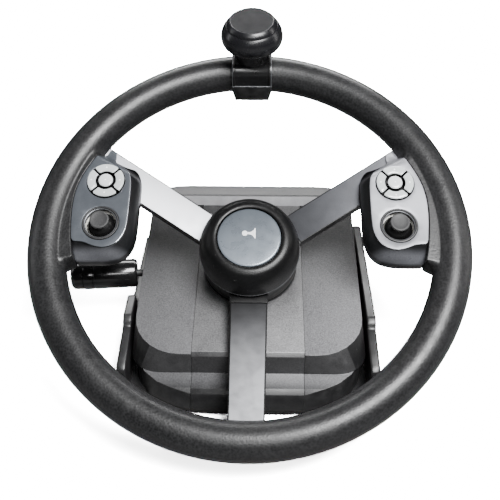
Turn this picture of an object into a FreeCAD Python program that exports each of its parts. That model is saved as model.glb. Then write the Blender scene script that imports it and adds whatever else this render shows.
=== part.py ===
import FreeCAD, Part
import Sketcher
import math
import os
from FreeCAD import Vector, Placement, Rotation

# Steering-wheel controller for tractor and truck simulation.
# Base frame: millimetres, +Z up, +Y away from the driver, +X to the driver's right.
# The origin is the centre of the underside of the rubber desk mat. "Front" is the driver's side.
# The wheel is modelled in its own frame (x right, y up in the wheel plane, z along the
# steering axis towards the driver) and placed by one shared tilt.

os.makedirs("parts", exist_ok=True)
doc = FreeCAD.newDocument("tractor_sim_wheel")
sheet = doc.addObject("Spreadsheet::Sheet", "dims")

# Driving dimensions. Names ending in _r are radii.
DIMS = {
    # wheel and steering axis
    "hub_y": -24.0, "hub_height": 119.0, "wheel_tilt": 30.0,
    "rim_major": 160.0, "grip_minor": 15.0, "hoop_minor": 6.0, "skin_gap": 0.06,
    "arm_width": 26.4, "arm_thick": 6.0, "arm_root_r": 43.0, "arm_tip_r": 139.0,
    "arm_root_z": -27.8, "arm_tip_z": -5.8, "cover_width": 27.0, "cover_thick": 1.7,
    "hub_plate_r": 34.0, "shaft_r": 10.0, "stub_r": 8.0, "flange_r": 21.0,
    "bolt_circle_r": 16.6, "bolt_r": 2.0, "bolt_head_r": 3.4,
    "dome_r": 40.9, "skirt_r": 40.2, "skirt_end": -42.5, "horn_r": 25.15, "horn_top": 2.0,
    # thumb controls
    "pad_x": 116.2, "pad_y": 44.9, "pad_hole_r": 15.5, "arc_out_r": 14.95, "arc_in_r": 8.1,
    "centre_button_r": 5.8, "button_low": 5.2, "button_top": 12.4,
    "thumb_x": 117.2, "thumb_y": 7.3, "pivot_z": 2.0, "ball_r": 11.5, "cap_r": 7.65,
    "well_r": 12.2, "housing_in_r": 15.0, "housing_out_r": 16.9,
    "pin_r": 0.9, "pin_hole_r": 0.95,
    "plate_low": 8.5, "plate_top": 10.1, "body_low": -14.0,
    # spinner knob and its clamp
    "clamp_width": 34.0, "clamp_half": 19.5, "post_r": 5.0, "post_bore_r": 5.05,
    "knob_r": 26.0, "knob_lean": 14.0,
    # bearings and travel-stop gear
    "bush_out_r": 14.0, "bush_in_r": 10.05, "bush_len": 10.0, "block_r": 22.0,
    "gear_module": 1.25, "pinion_teeth": 18.0, "gear_teeth": 54.0, "gear_thick": 6.0,
    "axle_r": 4.0, "axle_bore_r": 4.05,
    # base
    "panel_slope": 10.0, "panel_zero": 65.92, "wall": 4.0, "split_z": 31.0,
    "shell_half": 95.5, "face_half": 92.0, "front_y": -85.5, "rear_y": 85.0,
    "low_corner": 25.0, "face_corner": 38.0, "strip_half": 44.5, "strip_thick": 2.0,
    "plate_half": 105.0, "plate_front": -86.0, "plate_rear": 104.0,
    "mat_thick": 5.0, "sheet_thick": 3.0, "cheek_in": 97.0, "cheek_thick": 7.5,
    "rig_x": 50.0, "rig_y": 40.0, "rig_hole_r": 2.5, "screw_r": 1.6, "neck_hole_r": 34.0,
    # side lever
    "lever_x": -78.0, "lever_y": 17.0, "lever_z": 54.0, "lever_grip_r": 12.5,
    "lever_rod_r": 3.5, "lever_lean": 6.0,
}
for row, (alias, value) in enumerate(DIMS.items(), start=1):
    sheet.set(f"A{row}", alias)
    sheet.set(f"B{row}", repr(value))
    sheet.setAlias(f"B{row}", alias)
doc.recompute()

FIT = 0.05        # radial clearance of bolt holes and of the clamp round the grip
SEAT_FIT = 0.02   # radial clearance of a bush in its seat
SHELL_FOOT = 8.05  # underside of the shells
INNER_FOOT = 8.1   # underside of the pieces that stand on the floor plate
SIDES = ((1, "right"), (-1, "left"))
X_AXIS, Y_AXIS, MINUS_X = (1, 0, 0), (0, 1, 0), (-1, 0, 0)


# ------------------------------------------------------------------ sizes bound to the sheet
class Size:
    """A number together with the sheet expression it comes from."""

    def __init__(self, value, formula):
        self.value = float(value)
        self.formula = formula

    def combine(self, other, sign, swap=False):
        if not isinstance(other, Size):
            other = Size(other, repr(float(other)))
        left, right = (other, self) if swap else (self, other)
        value = {"+": left.value + right.value,
                 "-": left.value - right.value,
                 "*": left.value * right.value}[sign]
        return Size(value, f"({left.formula} {sign} {right.formula})")

    def __add__(self, other):
        return self.combine(other, "+")

    def __sub__(self, other):
        return self.combine(other, "-")

    def __rsub__(self, other):
        return self.combine(other, "-", True)

    def __rmul__(self, other):
        return self.combine(other, "*", True)


def dim(alias):
    return Size(DIMS[alias], "dims." + alias)


def number(size):
    return size.value if isinstance(size, Size) else float(size)


def bind(obj, prop, size):
    setattr(obj, prop, number(size))
    if isinstance(size, Size):
        obj.setExpression(prop, size.formula)


# ------------------------------------------------------------------ placing and registering
HUB = Placement(Vector(0, DIMS["hub_y"], DIMS["hub_height"]),
                Rotation(Vector(1, 0, 0), DIMS["wheel_tilt"]))
PARTS = []


def place_at(obj, at, axis=(0, 0, 1)):
    """Puts an object at a point with its own Z along axis, bound to the sheet where it can be."""
    obj.Placement = Placement(Vector(*[number(c) for c in at]),
                              Rotation(Vector(0, 0, 1), Vector(*axis)))
    for letter, coordinate in zip("xyz", at):
        if isinstance(coordinate, Size):
            obj.setExpression(".Placement.Base." + letter, coordinate.formula)


def place_on_wheel(obj, x=0.0, y=0.0, z=0.0, spin=0.0):
    """Puts an object at x, y, z of the wheel frame, bound to the hub position and tilt cells."""
    obj.Placement = HUB.multiply(Placement(Vector(x, y, z), Rotation(Vector(0, 0, 1), spin)))
    turn = "(dims.wheel_tilt * 1 deg)"
    y, z = float(y), float(z)
    obj.setExpression(".Placement.Base.y", f"dims.hub_y + cos{turn} * {y!r} - sin{turn} * {z!r}")
    obj.setExpression(".Placement.Base.z",
                      f"dims.hub_height + sin{turn} * {y!r} + cos{turn} * {z!r}")


def base_part(obj, label):
    """Registers a finished piece that is already in the base frame."""
    obj.Label = label
    PARTS.append((label, obj))


def wheel_part(obj, label, x=0.0, y=0.0, spin=0.0):
    """Registers a finished piece and places it in the wheel frame."""
    place_on_wheel(obj, x, y, spin=spin)
    base_part(obj, label)


# ------------------------------------------------------------------ primitives and booleans
def cylinder(name, radius, length, at=(0, 0, 0), axis=(0, 0, 1)):
    obj = doc.addObject("Part::Cylinder", name)
    bind(obj, "Radius", radius)
    bind(obj, "Height", length)
    place_at(obj, at, axis)
    return obj


def cylinders(name, radius, length, spots, z):
    """Equal upright cylinders, one at each (x, y) spot."""
    return [cylinder(f"{name}_{k}", radius, length, (x, y, z)) for k, (x, y) in enumerate(spots)]


def wheel_cylinder(name, radius, length, z, x=0.0):
    """A cylinder along the steering axis direction, placed in the wheel frame."""
    obj = cylinder(name, radius, length)
    place_on_wheel(obj, x, 0, z)
    return obj


def box(name, low, high):
    obj = doc.addObject("Part::Box", name)
    obj.Length, obj.Width, obj.Height = [b - a for a, b in zip(low, high)]
    obj.Placement = Placement(Vector(*low), Rotation())
    return obj


def torus(name, major, minor):
    obj = doc.addObject("Part::Torus", name)
    bind(obj, "Radius1", major)
    bind(obj, "Radius2", minor)
    return obj


def sphere(name, radius, at):
    obj = doc.addObject("Part::Sphere", name)
    bind(obj, "Radius", radius)
    place_at(obj, at)
    return obj


def fuse(name, *items):
    if len(items) == 1:
        return items[0]
    obj = doc.addObject("Part::MultiFuse", name)
    obj.Shapes = list(items)
    return obj


def cut(name, base, *tools):
    obj = doc.addObject("Part::Cut", name)
    obj.Base = base
    obj.Tool = fuse(name + "_tools", *tools)
    return obj


def common(name, base, tool):
    obj = doc.addObject("Part::Common", name)
    obj.Base = base
    obj.Tool = tool
    return obj


def group(name, *items):
    obj = doc.addObject("Part::Compound", name)
    obj.Links = list(items)
    return obj


def headed_screws(name, spots, head, shank):
    """One screw at each spot. Head and shank are each (radius, length, lower z)."""
    screws = []
    for k, (x, y) in enumerate(spots):
        pieces = [cylinder(f"{name}_{piece}_{k}", radius, length, (x, y, z))
                  for piece, (radius, length, z) in (("head", head), ("shank", shank))]
        screws.append(fuse(f"{name}_{k}", *pieces))
    return screws


# ------------------------------------------------------------------ point helpers
def polar(radius, degrees, centre_x=0.0, centre_y=0.0):
    angle = math.radians(degrees)
    return centre_x + radius * math.cos(angle), centre_y + radius * math.sin(angle)


def on_side(points, side):
    """Points drawn for the right (+x) side, kept for side 1 or mirrored for side -1."""
    return [(side * x, y) for x, y in points]


def both_sides(right):
    """A symmetric outline from its +x half, listed from the middle outwards."""
    return on_side(right, -1)[::-1] + right


def inset(points, amount):
    """Moves every point towards the mean point by amount (away from it if negative)."""
    mean_x = sum(p[0] for p in points) / len(points)
    mean_y = sum(p[1] for p in points) / len(points)
    moved = []
    for x, y in points:
        radius = math.hypot(x - mean_x, y - mean_y)
        scale = (radius - amount) / radius
        moved.append((mean_x + (x - mean_x) * scale, mean_y + (y - mean_y) * scale))
    return moved


# ------------------------------------------------------------------ sketches and bodies
def new_body(name):
    return doc.addObject("PartDesign::Body", name)


def origin_feature(body, role):
    return [f for f in body.Origin.OriginFeatures if f.Role == role][0]


def new_sketch(body, name, plane="XY_Plane", offset=0.0):
    """A sketch on an origin plane, moved along the plane's normal by offset."""
    sketch = body.newObject("Sketcher::SketchObject", name)
    sketch.AttachmentSupport = [(origin_feature(body, plane), "")]
    sketch.MapMode = "FlatFace"
    sketch.AttachmentOffset = Placement(Vector(0, 0, number(offset)), Rotation())
    if isinstance(offset, Size):
        sketch.setExpression(".AttachmentOffset.Base.z", offset.formula)
    return sketch


def constrain(sketch, size, kind, *where):
    index = sketch.addConstraint(Sketcher.Constraint(kind, *where, number(size)))
    if isinstance(size, Size):
        sketch.setExpression(f"Constraints[{index}]", size.formula)


def pin_vertex(sketch, geometry, vertex, x, y):
    """Fixes one sketch vertex at x, y from the sketch origin."""
    for kind, zero_axis, coordinate in (("DistanceX", -2, x), ("DistanceY", -1, y)):
        if abs(number(coordinate)) < 1e-9:
            sketch.addConstraint(
                Sketcher.Constraint("PointOnObject", geometry, vertex, zero_axis))
        else:
            constrain(sketch, coordinate, kind, -1, 1, geometry, vertex)


def draw_polygon(sketch, points):
    count = len(points)
    corners = [Vector(number(x), number(y), 0) for x, y in points]
    for i in range(count):
        sketch.addGeometry(Part.LineSegment(corners[i], corners[(i + 1) % count]), False)
    for i in range(count):
        sketch.addConstraint(Sketcher.Constraint("Coincident", i, 2, (i + 1) % count, 1))
    for i, (x, y) in enumerate(points):
        pin_vertex(sketch, i, 1, x, y)


def draw_circle(sketch, x, y, radius):
    circle = Part.Circle(Vector(number(x), number(y), 0), Vector(0, 0, 1), number(radius))
    index = sketch.addGeometry(circle, False)
    constrain(sketch, radius, "Radius", index)
    pin_vertex(sketch, index, 3, x, y)


def draw_spline(sketch, points):
    curve = Part.BSplineCurve()
    curve.interpolate([Vector(x, y, 0) for x, y in points], PeriodicFlag=True)
    sketch.addGeometry(curve, False)


def pad(body, sketch, length, name, midplane=False, reverse=False):
    feature = body.newObject("PartDesign::Pad", name)
    feature.Profile = sketch
    bind(feature, "Length", length)
    if midplane:
        # guards against a build whose pads have Midplane instead of SideType
        try:
            feature.SideType = "Symmetric"
        except Exception:
            feature.Midplane = True
    feature.Reversed = reverse
    body.Tip = feature
    return feature


def pocket(body, name, draw, points, z, depth, reverse=False):
    """Cuts an outline from height z downwards, or upwards if reversed."""
    doc.recompute()
    sketch = new_sketch(body, name, offset=z)
    draw(sketch, points)
    feature = body.newObject("PartDesign::Pocket", name + "_cut")
    feature.Profile = sketch
    feature.Length = depth
    feature.Reversed = reverse
    body.Tip = feature


def ruled_loft(body, kind, name, low_sketch, high_sketch):
    feature = body.newObject("PartDesign::" + kind, name)
    feature.Profile = low_sketch
    feature.Sections = [high_sketch]
    feature.Ruled = True
    body.Tip = feature


def turned(name, points):
    """A turned piece: half profile (radius, height) revolved about the body's own Z."""
    body = new_body(name)
    sketch = new_sketch(body, name + "_profile", "XZ_Plane")
    draw_polygon(sketch, points)
    feature = body.newObject("PartDesign::Revolution", name + "_turn")
    feature.Profile = sketch
    feature.ReferenceAxis = (sketch, ["V_Axis"])
    feature.Angle = 360.0
    body.Tip = feature
    return body


def slab(name, points, z_low, z_high, draw=draw_polygon, holes=()):
    """A flat piece: an outline, with (x, y, radius) holes, padded from z_low up to z_high."""
    body = new_body(name)
    sketch = new_sketch(body, name + "_outline", offset=z_low)
    draw(sketch, points)
    for hole in holes:
        draw_circle(sketch, *hole)
    pad(body, sketch, z_high - z_low, name + "_pad")
    return body


def side_prism(name, points, width, start=None):
    """A constant (y, z) profile, centred across X or padded towards +X from start."""
    body = new_body(name)
    sketch = new_sketch(body, name + "_profile", "YZ_Plane", 0.0 if start is None else start)
    draw_polygon(sketch, points)
    pad(body, sketch, width, name + "_pad", midplane=start is None)
    return body


def front_prism(name, points, length):
    """A constant (x, z) profile, padded both ways along Y."""
    body = new_body(name)
    sketch = new_sketch(body, name + "_profile", "XZ_Plane")
    draw_polygon(sketch, points)
    pad(body, sketch, length, name + "_pad", midplane=True)
    return body


# ------------------------------------------------------------------ wheel frame
ARM_ROOT, ARM_TIP = DIMS["arm_root_r"], DIMS["arm_tip_r"]
ARM_START = 20.0       # radius where the arms begin, inside the hub disc
ARM_END = 156.5        # radius where the arms end, inside the hoop
CLEAR_END = 158.0
CLEAR_ABOVE, CLEAR_BELOW = 2.1, -6.2   # clearance limits, measured from the arm's top face
FRAME_LOW = -36.0      # lower end of the hole cutters
BOLT_CIRCLE = [polar(DIMS["bolt_circle_r"], 60 * k) for k in range(6)]


def arm_height(radius, lift=0.0):
    """Height of the arm's top face at a radius, plus a lift."""
    fraction = (radius - ARM_ROOT) / (ARM_TIP - ARM_ROOT)
    return DIMS["arm_root_z"] + fraction * (DIMS["arm_tip_z"] - DIMS["arm_root_z"]) + lift


def downwards(profile):
    """Turns (radius, z) into (y, z) for an arm that points to the bottom of the wheel."""
    return [(-radius, z) for radius, z in profile]


def add_arms(body, name, profile, width):
    """Radial arms at 270, 30 and 150 degrees, from one (radius, z) side profile."""
    sketch = new_sketch(body, name + "_side", "YZ_Plane")
    draw_polygon(sketch, downwards(profile))
    arm = pad(body, sketch, width, name + "_pad", midplane=True)
    doc.recompute()
    pattern = body.newObject("PartDesign::PolarPattern", name + "_three")
    pattern.Originals = [arm]
    pattern.Axis = (origin_feature(body, "Z_Axis"), [""])
    pattern.Angle = 360.0
    pattern.Occurrences = 3
    body.Tip = pattern


arm_thick = DIMS["arm_thick"]
arms = new_body("welded_arms")
disc_sketch = new_sketch(arms, "hub_disc", offset=-34.0)
draw_circle(disc_sketch, 0, 0, dim("hub_plate_r"))
pad(arms, disc_sketch, 6.0, "hub_disc_pad")
add_arms(arms, "arm", [
    (ARM_START, DIMS["arm_root_z"] - 0.2),
    (ARM_ROOT, arm_height(ARM_ROOT)),
    (ARM_END, arm_height(ARM_END)),
    (ARM_END, arm_height(ARM_END, -arm_thick)),
    (ARM_ROOT, arm_height(ARM_ROOT, -arm_thick)),
    (ARM_START, DIMS["arm_root_z"] - 0.2 - arm_thick)], dim("arm_width"))
hoop = torus("hoop", dim("rim_major"), dim("hoop_minor"))
wheel_part(cut("wheel_frame", fuse("frame_welded", arms, hoop),
               cylinder("frame_bore", dim("stub_r") + FIT, 10, (0, 0, FRAME_LOW)),
               *cylinders("frame_bolt_hole", dim("bolt_r") + FIT, 10, BOLT_CIRCLE, FRAME_LOW)),
           "wheel_frame")

# clearance volume around arms and their covers, shared by the grip, pods and hub skirt
arm_clear = new_body("arm_clearance")
add_arms(arm_clear, "arm_clearance", [
    (ARM_START, -26.2),
    (ARM_ROOT, arm_height(ARM_ROOT, CLEAR_ABOVE)),
    (CLEAR_END, arm_height(CLEAR_END, CLEAR_ABOVE)),
    (CLEAR_END, arm_height(CLEAR_END, CLEAR_BELOW)),
    (ARM_ROOT, arm_height(ARM_ROOT, CLEAR_BELOW)),
    (ARM_START, -34.3)], dim("cover_width") + 0.6)

# cover plates on the three arms
COVER_START, COVER_END = 44.0, 143.5
COVER_GAP = 0.08
cover_lift = COVER_GAP + DIMS["cover_thick"]
cover_profile = [(COVER_START, arm_height(COVER_START, COVER_GAP)),
                 (COVER_END, arm_height(COVER_END, COVER_GAP)),
                 (COVER_END, arm_height(COVER_END, cover_lift)),
                 (COVER_START, arm_height(COVER_START, cover_lift))]
for place, angle in (("lower", 0), ("right", 120), ("left", 240)):
    cover = side_prism(f"spoke_cover_{place}_body", downwards(cover_profile), dim("cover_width"))
    wheel_part(cover, "spoke_cover_" + place, spin=angle)

# ------------------------------------------------------------------ thumb pods
# Outlines of the right pod, (x, y) in the wheel frame.
# face plate, splined
PLATE = [
    (119.5, 73.5), (113, 72), (104.2, 62.6), (100.3, 57), (97.4, 51), (96.2, 44),
    (95.9, 34), (96, 22), (96.3, 10), (97.9, 0.5), (102.2, -7.8), (108.4, -12.1),
    (115.2, -13.4), (122.4, -11.9), (129, -9.3), (134.5, -8.5), (137.88, -8.19), (139.38, 4.87),
    (140.11, 19.69), (139.14, 34.69), (134.99, 49.13), (129.6, 60.43), (125.29, 68.03)]
# upper edge of the pod body, splined
TOP = [
    (119.7, 74), (112.8, 72.6), (103.9, 63.2), (99.8, 57.3), (96.9, 51.2), (95.7, 44),
    (95.4, 34), (95.5, 22), (95.8, 10), (97.4, 0.2), (101.8, -8.3), (108.2, -12.7),
    (115.2, -14), (122.6, -12.5), (129.2, -9.9), (134.6, -9.1), (138.18, -8.21), (139.68, 4.88),
    (140.41, 19.73), (139.43, 34.76), (135.28, 49.24), (129.87, 60.56), (125.55, 68.17)]
# widest section of the pod body, splined
LOW = [
    (119.5, 76), (112.6, 75.4), (104.5, 70.6), (98, 66.6), (93, 61.2), (90.8, 53),
    (90.2, 42), (90.4, 28), (90.6, 11), (92, -2), (95.6, -10.6), (102.6, -17),
    (112, -19.8), (121, -20.3), (129, -20.4), (134.6, -19.8), (137.46, -15.66), (140.18, 4.9),
    (140.9, 19.8), (139.92, 34.89), (135.75, 49.41), (130.33, 60.77), (125.36, 69.49)]
# edge of the grip flare beside the pod, from top to bottom, straight segments
SEAM = [
    (120.01, 79.43), (125.71, 69.68), (130.69, 60.94), (136.12, 49.54), (140.3, 34.98),
    (141.3, 19.86), (140.58, 4.91), (138.87, -9.71), (136.3, -22.81)]
# circuit board, straight segments
BOARD = [(101.6, 30), (133, 30), (129.6, 46), (120, 57.4), (107.6, 57.4), (101.6, 46)]

POD_WIDEST_Z = -3.0
POD_TOP_Z = DIMS["plate_low"] - 0.1
POD_WALL = 3.2
BUTTON_HALF_GAP = 1.0


def pod_shell(name, side):
    """Ruled loft from the widest section to the top, a straight skirt, and a cavity."""
    body = new_body(name)
    low_sketch = new_sketch(body, name + "_low", offset=POD_WIDEST_Z)
    draw_spline(low_sketch, on_side(LOW, side))
    top_sketch = new_sketch(body, name + "_top", offset=POD_TOP_Z)
    draw_spline(top_sketch, on_side(TOP, side))
    ruled_loft(body, "AdditiveLoft", name + "_loft", low_sketch, top_sketch)
    skirt_sketch = new_sketch(body, name + "_skirt", offset=POD_WIDEST_Z)
    draw_spline(skirt_sketch, on_side(LOW, side))
    pad(body, skirt_sketch, POD_WIDEST_Z - dim("body_low"), name + "_skirt_pad", reverse=True)
    pocket(body, name + "_cavity", draw_spline, on_side(inset(TOP, POD_WALL), side),
           z=-11.0, depth=40.0, reverse=True)
    return body


def pod_body_and_plate(side, label):
    pad_x, pad_y = side * dim("pad_x"), dim("pad_y")
    stick_x, stick_y = side * dim("thumb_x"), dim("thumb_y")
    wheel_part(cut("pod_body_" + label, pod_shell("pod_shell_" + label, side), arm_clear,
                   cylinder("button_room_" + label, dim("pad_hole_r"), 20.0, (pad_x, pad_y, 1.0)),
                   cylinder("stick_room_" + label, dim("housing_out_r") + 0.2, 20.0,
                            (stick_x, stick_y, -3.0))), "pod_body_" + label)
    wheel_part(slab("pod_plate_" + label, on_side(PLATE, side), dim("plate_low"),
                    dim("plate_top"), draw_spline,
                    holes=[(pad_x, pad_y, dim("pad_hole_r")),
                           (stick_x, stick_y, dim("housing_in_r") - 0.4)]),
               "pod_plate_" + label)


def stick_housing(side, label):
    """A tube with a bezel lip that fills the plate's round hole."""
    x, y = side * dim("thumb_x"), dim("thumb_y")
    well_cone = turned("well_cone_" + label, [(0, 9.4), (dim("well_r"), 9.4),
                                              (dim("well_r") + 1.24, 10.95), (0, 10.95)])
    place_at(well_cone, (x, y, 0))
    solid = fuse(
        "housing_solid_" + label,
        cylinder("housing_out_" + label, dim("housing_out_r"), 9.4, (x, y, -1.0)),
        cylinder("housing_lip_" + label, dim("housing_in_r") - 0.5, 2.6, (x, y, 8.3)))
    wheel_part(cut("housing_tube_" + label, solid,
                   cylinder("housing_bore_" + label, dim("housing_in_r"), 9.2, (x, y, -1.5)),
                   cylinder("housing_well_" + label, dim("well_r"), 6, (x, y, 6)),
                   well_cone,
                   cylinder("housing_pin_hole_" + label, dim("pin_hole_r"), 40,
                            (x, y - 20, dim("pivot_z")), Y_AXIS)), "stick_housing_" + label)


def stick_ring(side, label):
    """Gimbal ring: its two pins lie along y, its cross hole along x."""
    x, y, pivot = side * dim("thumb_x"), dim("thumb_y"), dim("pivot_z")
    band = cut("ring_band_" + label,
               cylinder("ring_out_" + label, 13.6, 2.8, (x, y, pivot - 1.4)),
               cylinder("ring_in_" + label, 12.0, 5, (x, y, pivot - 2.5)))
    solid = fuse("ring_solid_" + label, band,
                 cylinder("ring_pin_a_" + label, dim("pin_r"), 3.6, (x, y + 13.0, pivot), Y_AXIS),
                 cylinder("ring_pin_b_" + label, dim("pin_r"), 3.6, (x, y - 16.6, pivot), Y_AXIS))
    wheel_part(cut("stick_ring_" + label, solid,
                   cylinder("ring_hole_" + label, dim("pin_hole_r"), 40,
                            (x - 20, y, pivot), X_AXIS)), "stick_ring_" + label)


def thumb_stick(side, label):
    """Ball with its underside cut flat, round cap, stem, tail and pins along x."""
    x, y, pivot = side * dim("thumb_x"), dim("thumb_y"), dim("pivot_z")
    ball = common("stick_ball_" + label,
                  sphere("stick_sphere_" + label, dim("ball_r"), (x, y, pivot)),
                  cylinder("stick_keep_" + label, 20, 20, (x, y, pivot - 3.0)))
    wheel_part(fuse("stick_" + label, ball,
                    cylinder("stick_cap_" + label, dim("cap_r"), 2.8, (x, y, pivot + 11.9)),
                    cylinder("stick_stem_" + label, 3.4, 4, (x, y, pivot + 9)),
                    cylinder("stick_tail_" + label, 2.4, 6, (x, y, pivot - 7)),
                    cylinder("stick_pins_" + label, dim("pin_r"), 27.6,
                             (x - 13.8, y, pivot), X_AXIS)), "stick_" + label)


def arc_button(name, side, direction):
    """A quarter-ring button centred on a direction in degrees."""
    body = new_body(name)
    sketch = new_sketch(body, name + "_outline", offset=dim("button_low"))
    centre = Vector(side * DIMS["pad_x"], DIMS["pad_y"], 0)
    arcs, starts, ends = [], [], []
    for radius in (DIMS["arc_out_r"], DIMS["arc_in_r"]):
        gap = math.degrees(math.asin(BUTTON_HALF_GAP / radius))
        start, end = direction - 45 + gap, direction + 45 - gap
        circle = Part.Circle(centre, Vector(0, 0, 1), radius)
        arcs.append(Part.ArcOfCircle(circle, math.radians(start), math.radians(end)))
        starts.append(Vector(*polar(radius, start, centre.x, centre.y), 0))
        ends.append(Vector(*polar(radius, end, centre.x, centre.y), 0))
    sketch.addGeometry([arcs[0], Part.LineSegment(ends[0], ends[1]),
                        arcs[1], Part.LineSegment(starts[1], starts[0])], False)
    for joint in ((0, 2, 1, 1), (1, 2, 2, 2), (2, 1, 3, 1), (3, 2, 0, 1)):
        sketch.addConstraint(Sketcher.Constraint("Coincident", *joint))
    pad(body, sketch, dim("button_top") - dim("button_low"), name + "_pad")
    wheel_part(body, name)


def centre_button(name, side):
    body = new_body(name)
    sketch = new_sketch(body, name + "_outline", offset=dim("button_low"))
    draw_circle(sketch, side * dim("pad_x"), dim("pad_y"), dim("centre_button_r"))
    # stands 0.3 above the four arc buttons
    pad(body, sketch, dim("button_top") - dim("button_low") + 0.3, name + "_pad")
    wheel_part(body, name)


for side, label in SIDES:
    pod_body_and_plate(side, label)
    stick_housing(side, label)
    stick_ring(side, label)
    thumb_stick(side, label)
    for direction, way in ((0, "right"), (90, "up"), (180, "left"), (270, "down")):
        arc_button(f"{label}_button_{way}", side, direction)
    centre_button(label + "_button_centre", side)

wheel_part(group("pod_boards", *[slab("board_" + label, on_side(BOARD, side), 2.0, 3.6)
                                 for side, label in SIDES]), "pod_boards")

# ------------------------------------------------------------------ rim grip, flared at the pods
flare = SEAM + [polar(155, degrees) for degrees in (-8, -2, 5, 12, 19, 26, 31.5)]
grip_parts = [torus("grip_tube", dim("rim_major"), dim("grip_minor"))]
grip_cuts = [torus("grip_core", dim("rim_major"), dim("hoop_minor") + dim("skin_gap")), arm_clear]
# room cut for each pod: name, outline, clearance, lower z
POD_ROOMS = (("pod_room_", LOW, 0.15, -14.5),
             ("top_room_", TOP, 0.35, -3.2),
             ("plate_room_", PLATE, 0.35, 8.3))
for side, label in SIDES:
    grip_parts.append(slab("grip_flare_" + label, on_side(flare, side), -13.0, 9.6))
    for name, outline, clearance, z_low in POD_ROOMS:
        around = on_side(inset(outline, -clearance), side)
        grip_cuts.append(slab(name + label, around, z_low, 12.0, draw_spline))
wheel_part(cut("rim_grip", fuse("grip_skin", *grip_parts), *grip_cuts), "rim_grip")

# ------------------------------------------------------------------ hub
wheel_part(turned("hub_shell", [
    (26.0, 2.2), (30.0, 2.6), (34.2, 0.6), (37.6, -3.6), (39.8, -9.4),
    (dim("dome_r") - 0.2, -15.5), (dim("dome_r"), -22.0), (38.2, -22.0), (36.8, -10.0),
    (33.6, -6.4), (8.4, -6.4), (8.4, -3.6), (26.0, -3.6)]), "hub_shell")
skirt = turned("skirt_turned", [
    (dim("skirt_r"), -22.1), (dim("skirt_r"), -30), (39.4, dim("skirt_end")),
    (36.4, dim("skirt_end")), (36.4, -22.1)])
wheel_part(cut("hub_skirt", skirt, arm_clear), "hub_skirt")
HORN_LOW = -0.6
wheel_part(fuse("horn_button",
                cylinder("horn_disc", dim("horn_r"), dim("horn_top") - HORN_LOW, (0, 0, HORN_LOW)),
                cylinder("horn_stem", 8.0, 7.4, (0, 0, -8.0))), "horn_button")


# ------------------------------------------------------------------ steering shaft, nut, bolts
PRESSURE_ANGLE = math.radians(20)
TOOTH_THINNING = 0.10   # taken off the tooth thickness at the pitch circle


def involute(angle):
    return math.tan(angle) - angle


def involute_outline(teeth, module):
    """Closed outline of an involute gear, first tooth centred on +x."""
    pitch = module * teeth / 2.0
    base = pitch * math.cos(PRESSURE_ANGLE)
    outer = pitch + module * 0.95
    foot = pitch - module * 1.3
    half_angle = (math.pi / (2 * teeth) - TOOTH_THINNING / (2 * pitch)
                  + involute(PRESSURE_ANGLE))
    start = max(base, foot)
    # (radius, angle from the tooth's centre line), from the foot outwards
    flank = []
    for i in range(5):
        radius = start + (outer - start) * i / 4.0
        flank.append((radius, half_angle - involute(math.acos(min(1.0, base / radius)))))
    if foot < base:
        flank.insert(0, (foot, half_angle))
    tooth = [(radius, -angle) for radius, angle in flank] + flank[::-1]
    return [polar(radius, 360.0 * k / teeth + math.degrees(angle))
            for k in range(teeth) for radius, angle in tooth]


def gear_solid(name, teeth, z_low, thick, spin=0.0):
    points = [Vector(x, y, 0) for x, y in involute_outline(teeth, DIMS["gear_module"])]
    face = Part.Face(Part.makePolygon(points + [points[0]]))
    obj = doc.addObject("Part::Feature", name)
    obj.Shape = face.extrude(Vector(0, 0, thick))
    obj.Placement = Placement(Vector(0, 0, z_low), Rotation(Vector(0, 0, 1), spin))
    return obj


HEAD_SEAT_Z = -27.95   # underside of the nut and of the bolt heads
pinion = gear_solid("pinion_teeth_solid", int(DIMS["pinion_teeth"]), -102.0, 7.5)
shaft = turned("shaft_turned", [
    (0, -17.0), (7.4, -17.0), (dim("stub_r"), -17.6), (dim("stub_r"), -34.1),
    (dim("flange_r"), -34.1), (dim("flange_r"), -40.0), (12.5, -40.0), (dim("shaft_r"), -42.5),
    (dim("shaft_r"), -94.5), (6.0, -94.6), (6.0, -106.0), (0, -106.0)])
wheel_part(cut("steering_shaft", fuse("shaft_with_pinion", shaft, pinion),
               *cylinders("shaft_bolt_hole", dim("bolt_r") + FIT, 10, BOLT_CIRCLE, -42)),
           "steering_shaft")
wheel_part(slab("shaft_nut", [polar(12.4, 60 * k) for k in range(6)], HEAD_SEAT_Z, -21.0,
                holes=[(0, 0, dim("stub_r") + FIT)]), "shaft_nut")
# each bolt stands just outside a corner of the nut
wheel_part(group("hub_bolts", *headed_screws(
    "hub_bolt", BOLT_CIRCLE, head=(dim("bolt_head_r"), 3.6, HEAD_SEAT_Z),
    shank=(dim("bolt_r"), 11.4, -39.2))), "hub_bolts")

# ------------------------------------------------------------------ spinner knob and clamp
# The spinner sits at the top of the rim and leans away from the driver about the rim tube.
RIM_TOP = DIMS["rim_major"]
LEAN = Placement(Vector(0, RIM_TOP, 0), Rotation(Vector(1, 0, 0), -DIMS["knob_lean"])).multiply(
    Placement(Vector(0, -RIM_TOP, 0), Rotation()))
CLAMP_SCREWS = ((-11, 143.1), (11, 143.1), (-11, 176.2), (11, 176.2))
CLAMP_HOLE_R = 1.05


def leaned(*items):
    for item in items:
        item.Placement = LEAN.multiply(item.Placement)
    return items


def spinner_part(obj, label):
    """A turned spinner piece: on the rim tube's centre line, along the leaned knob axis."""
    wheel_part(obj, label, y=RIM_TOP)
    obj.Placement = Placement(
        obj.Placement.Base, Rotation(Vector(1, 0, 0), DIMS["wheel_tilt"] - DIMS["knob_lean"]))


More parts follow.
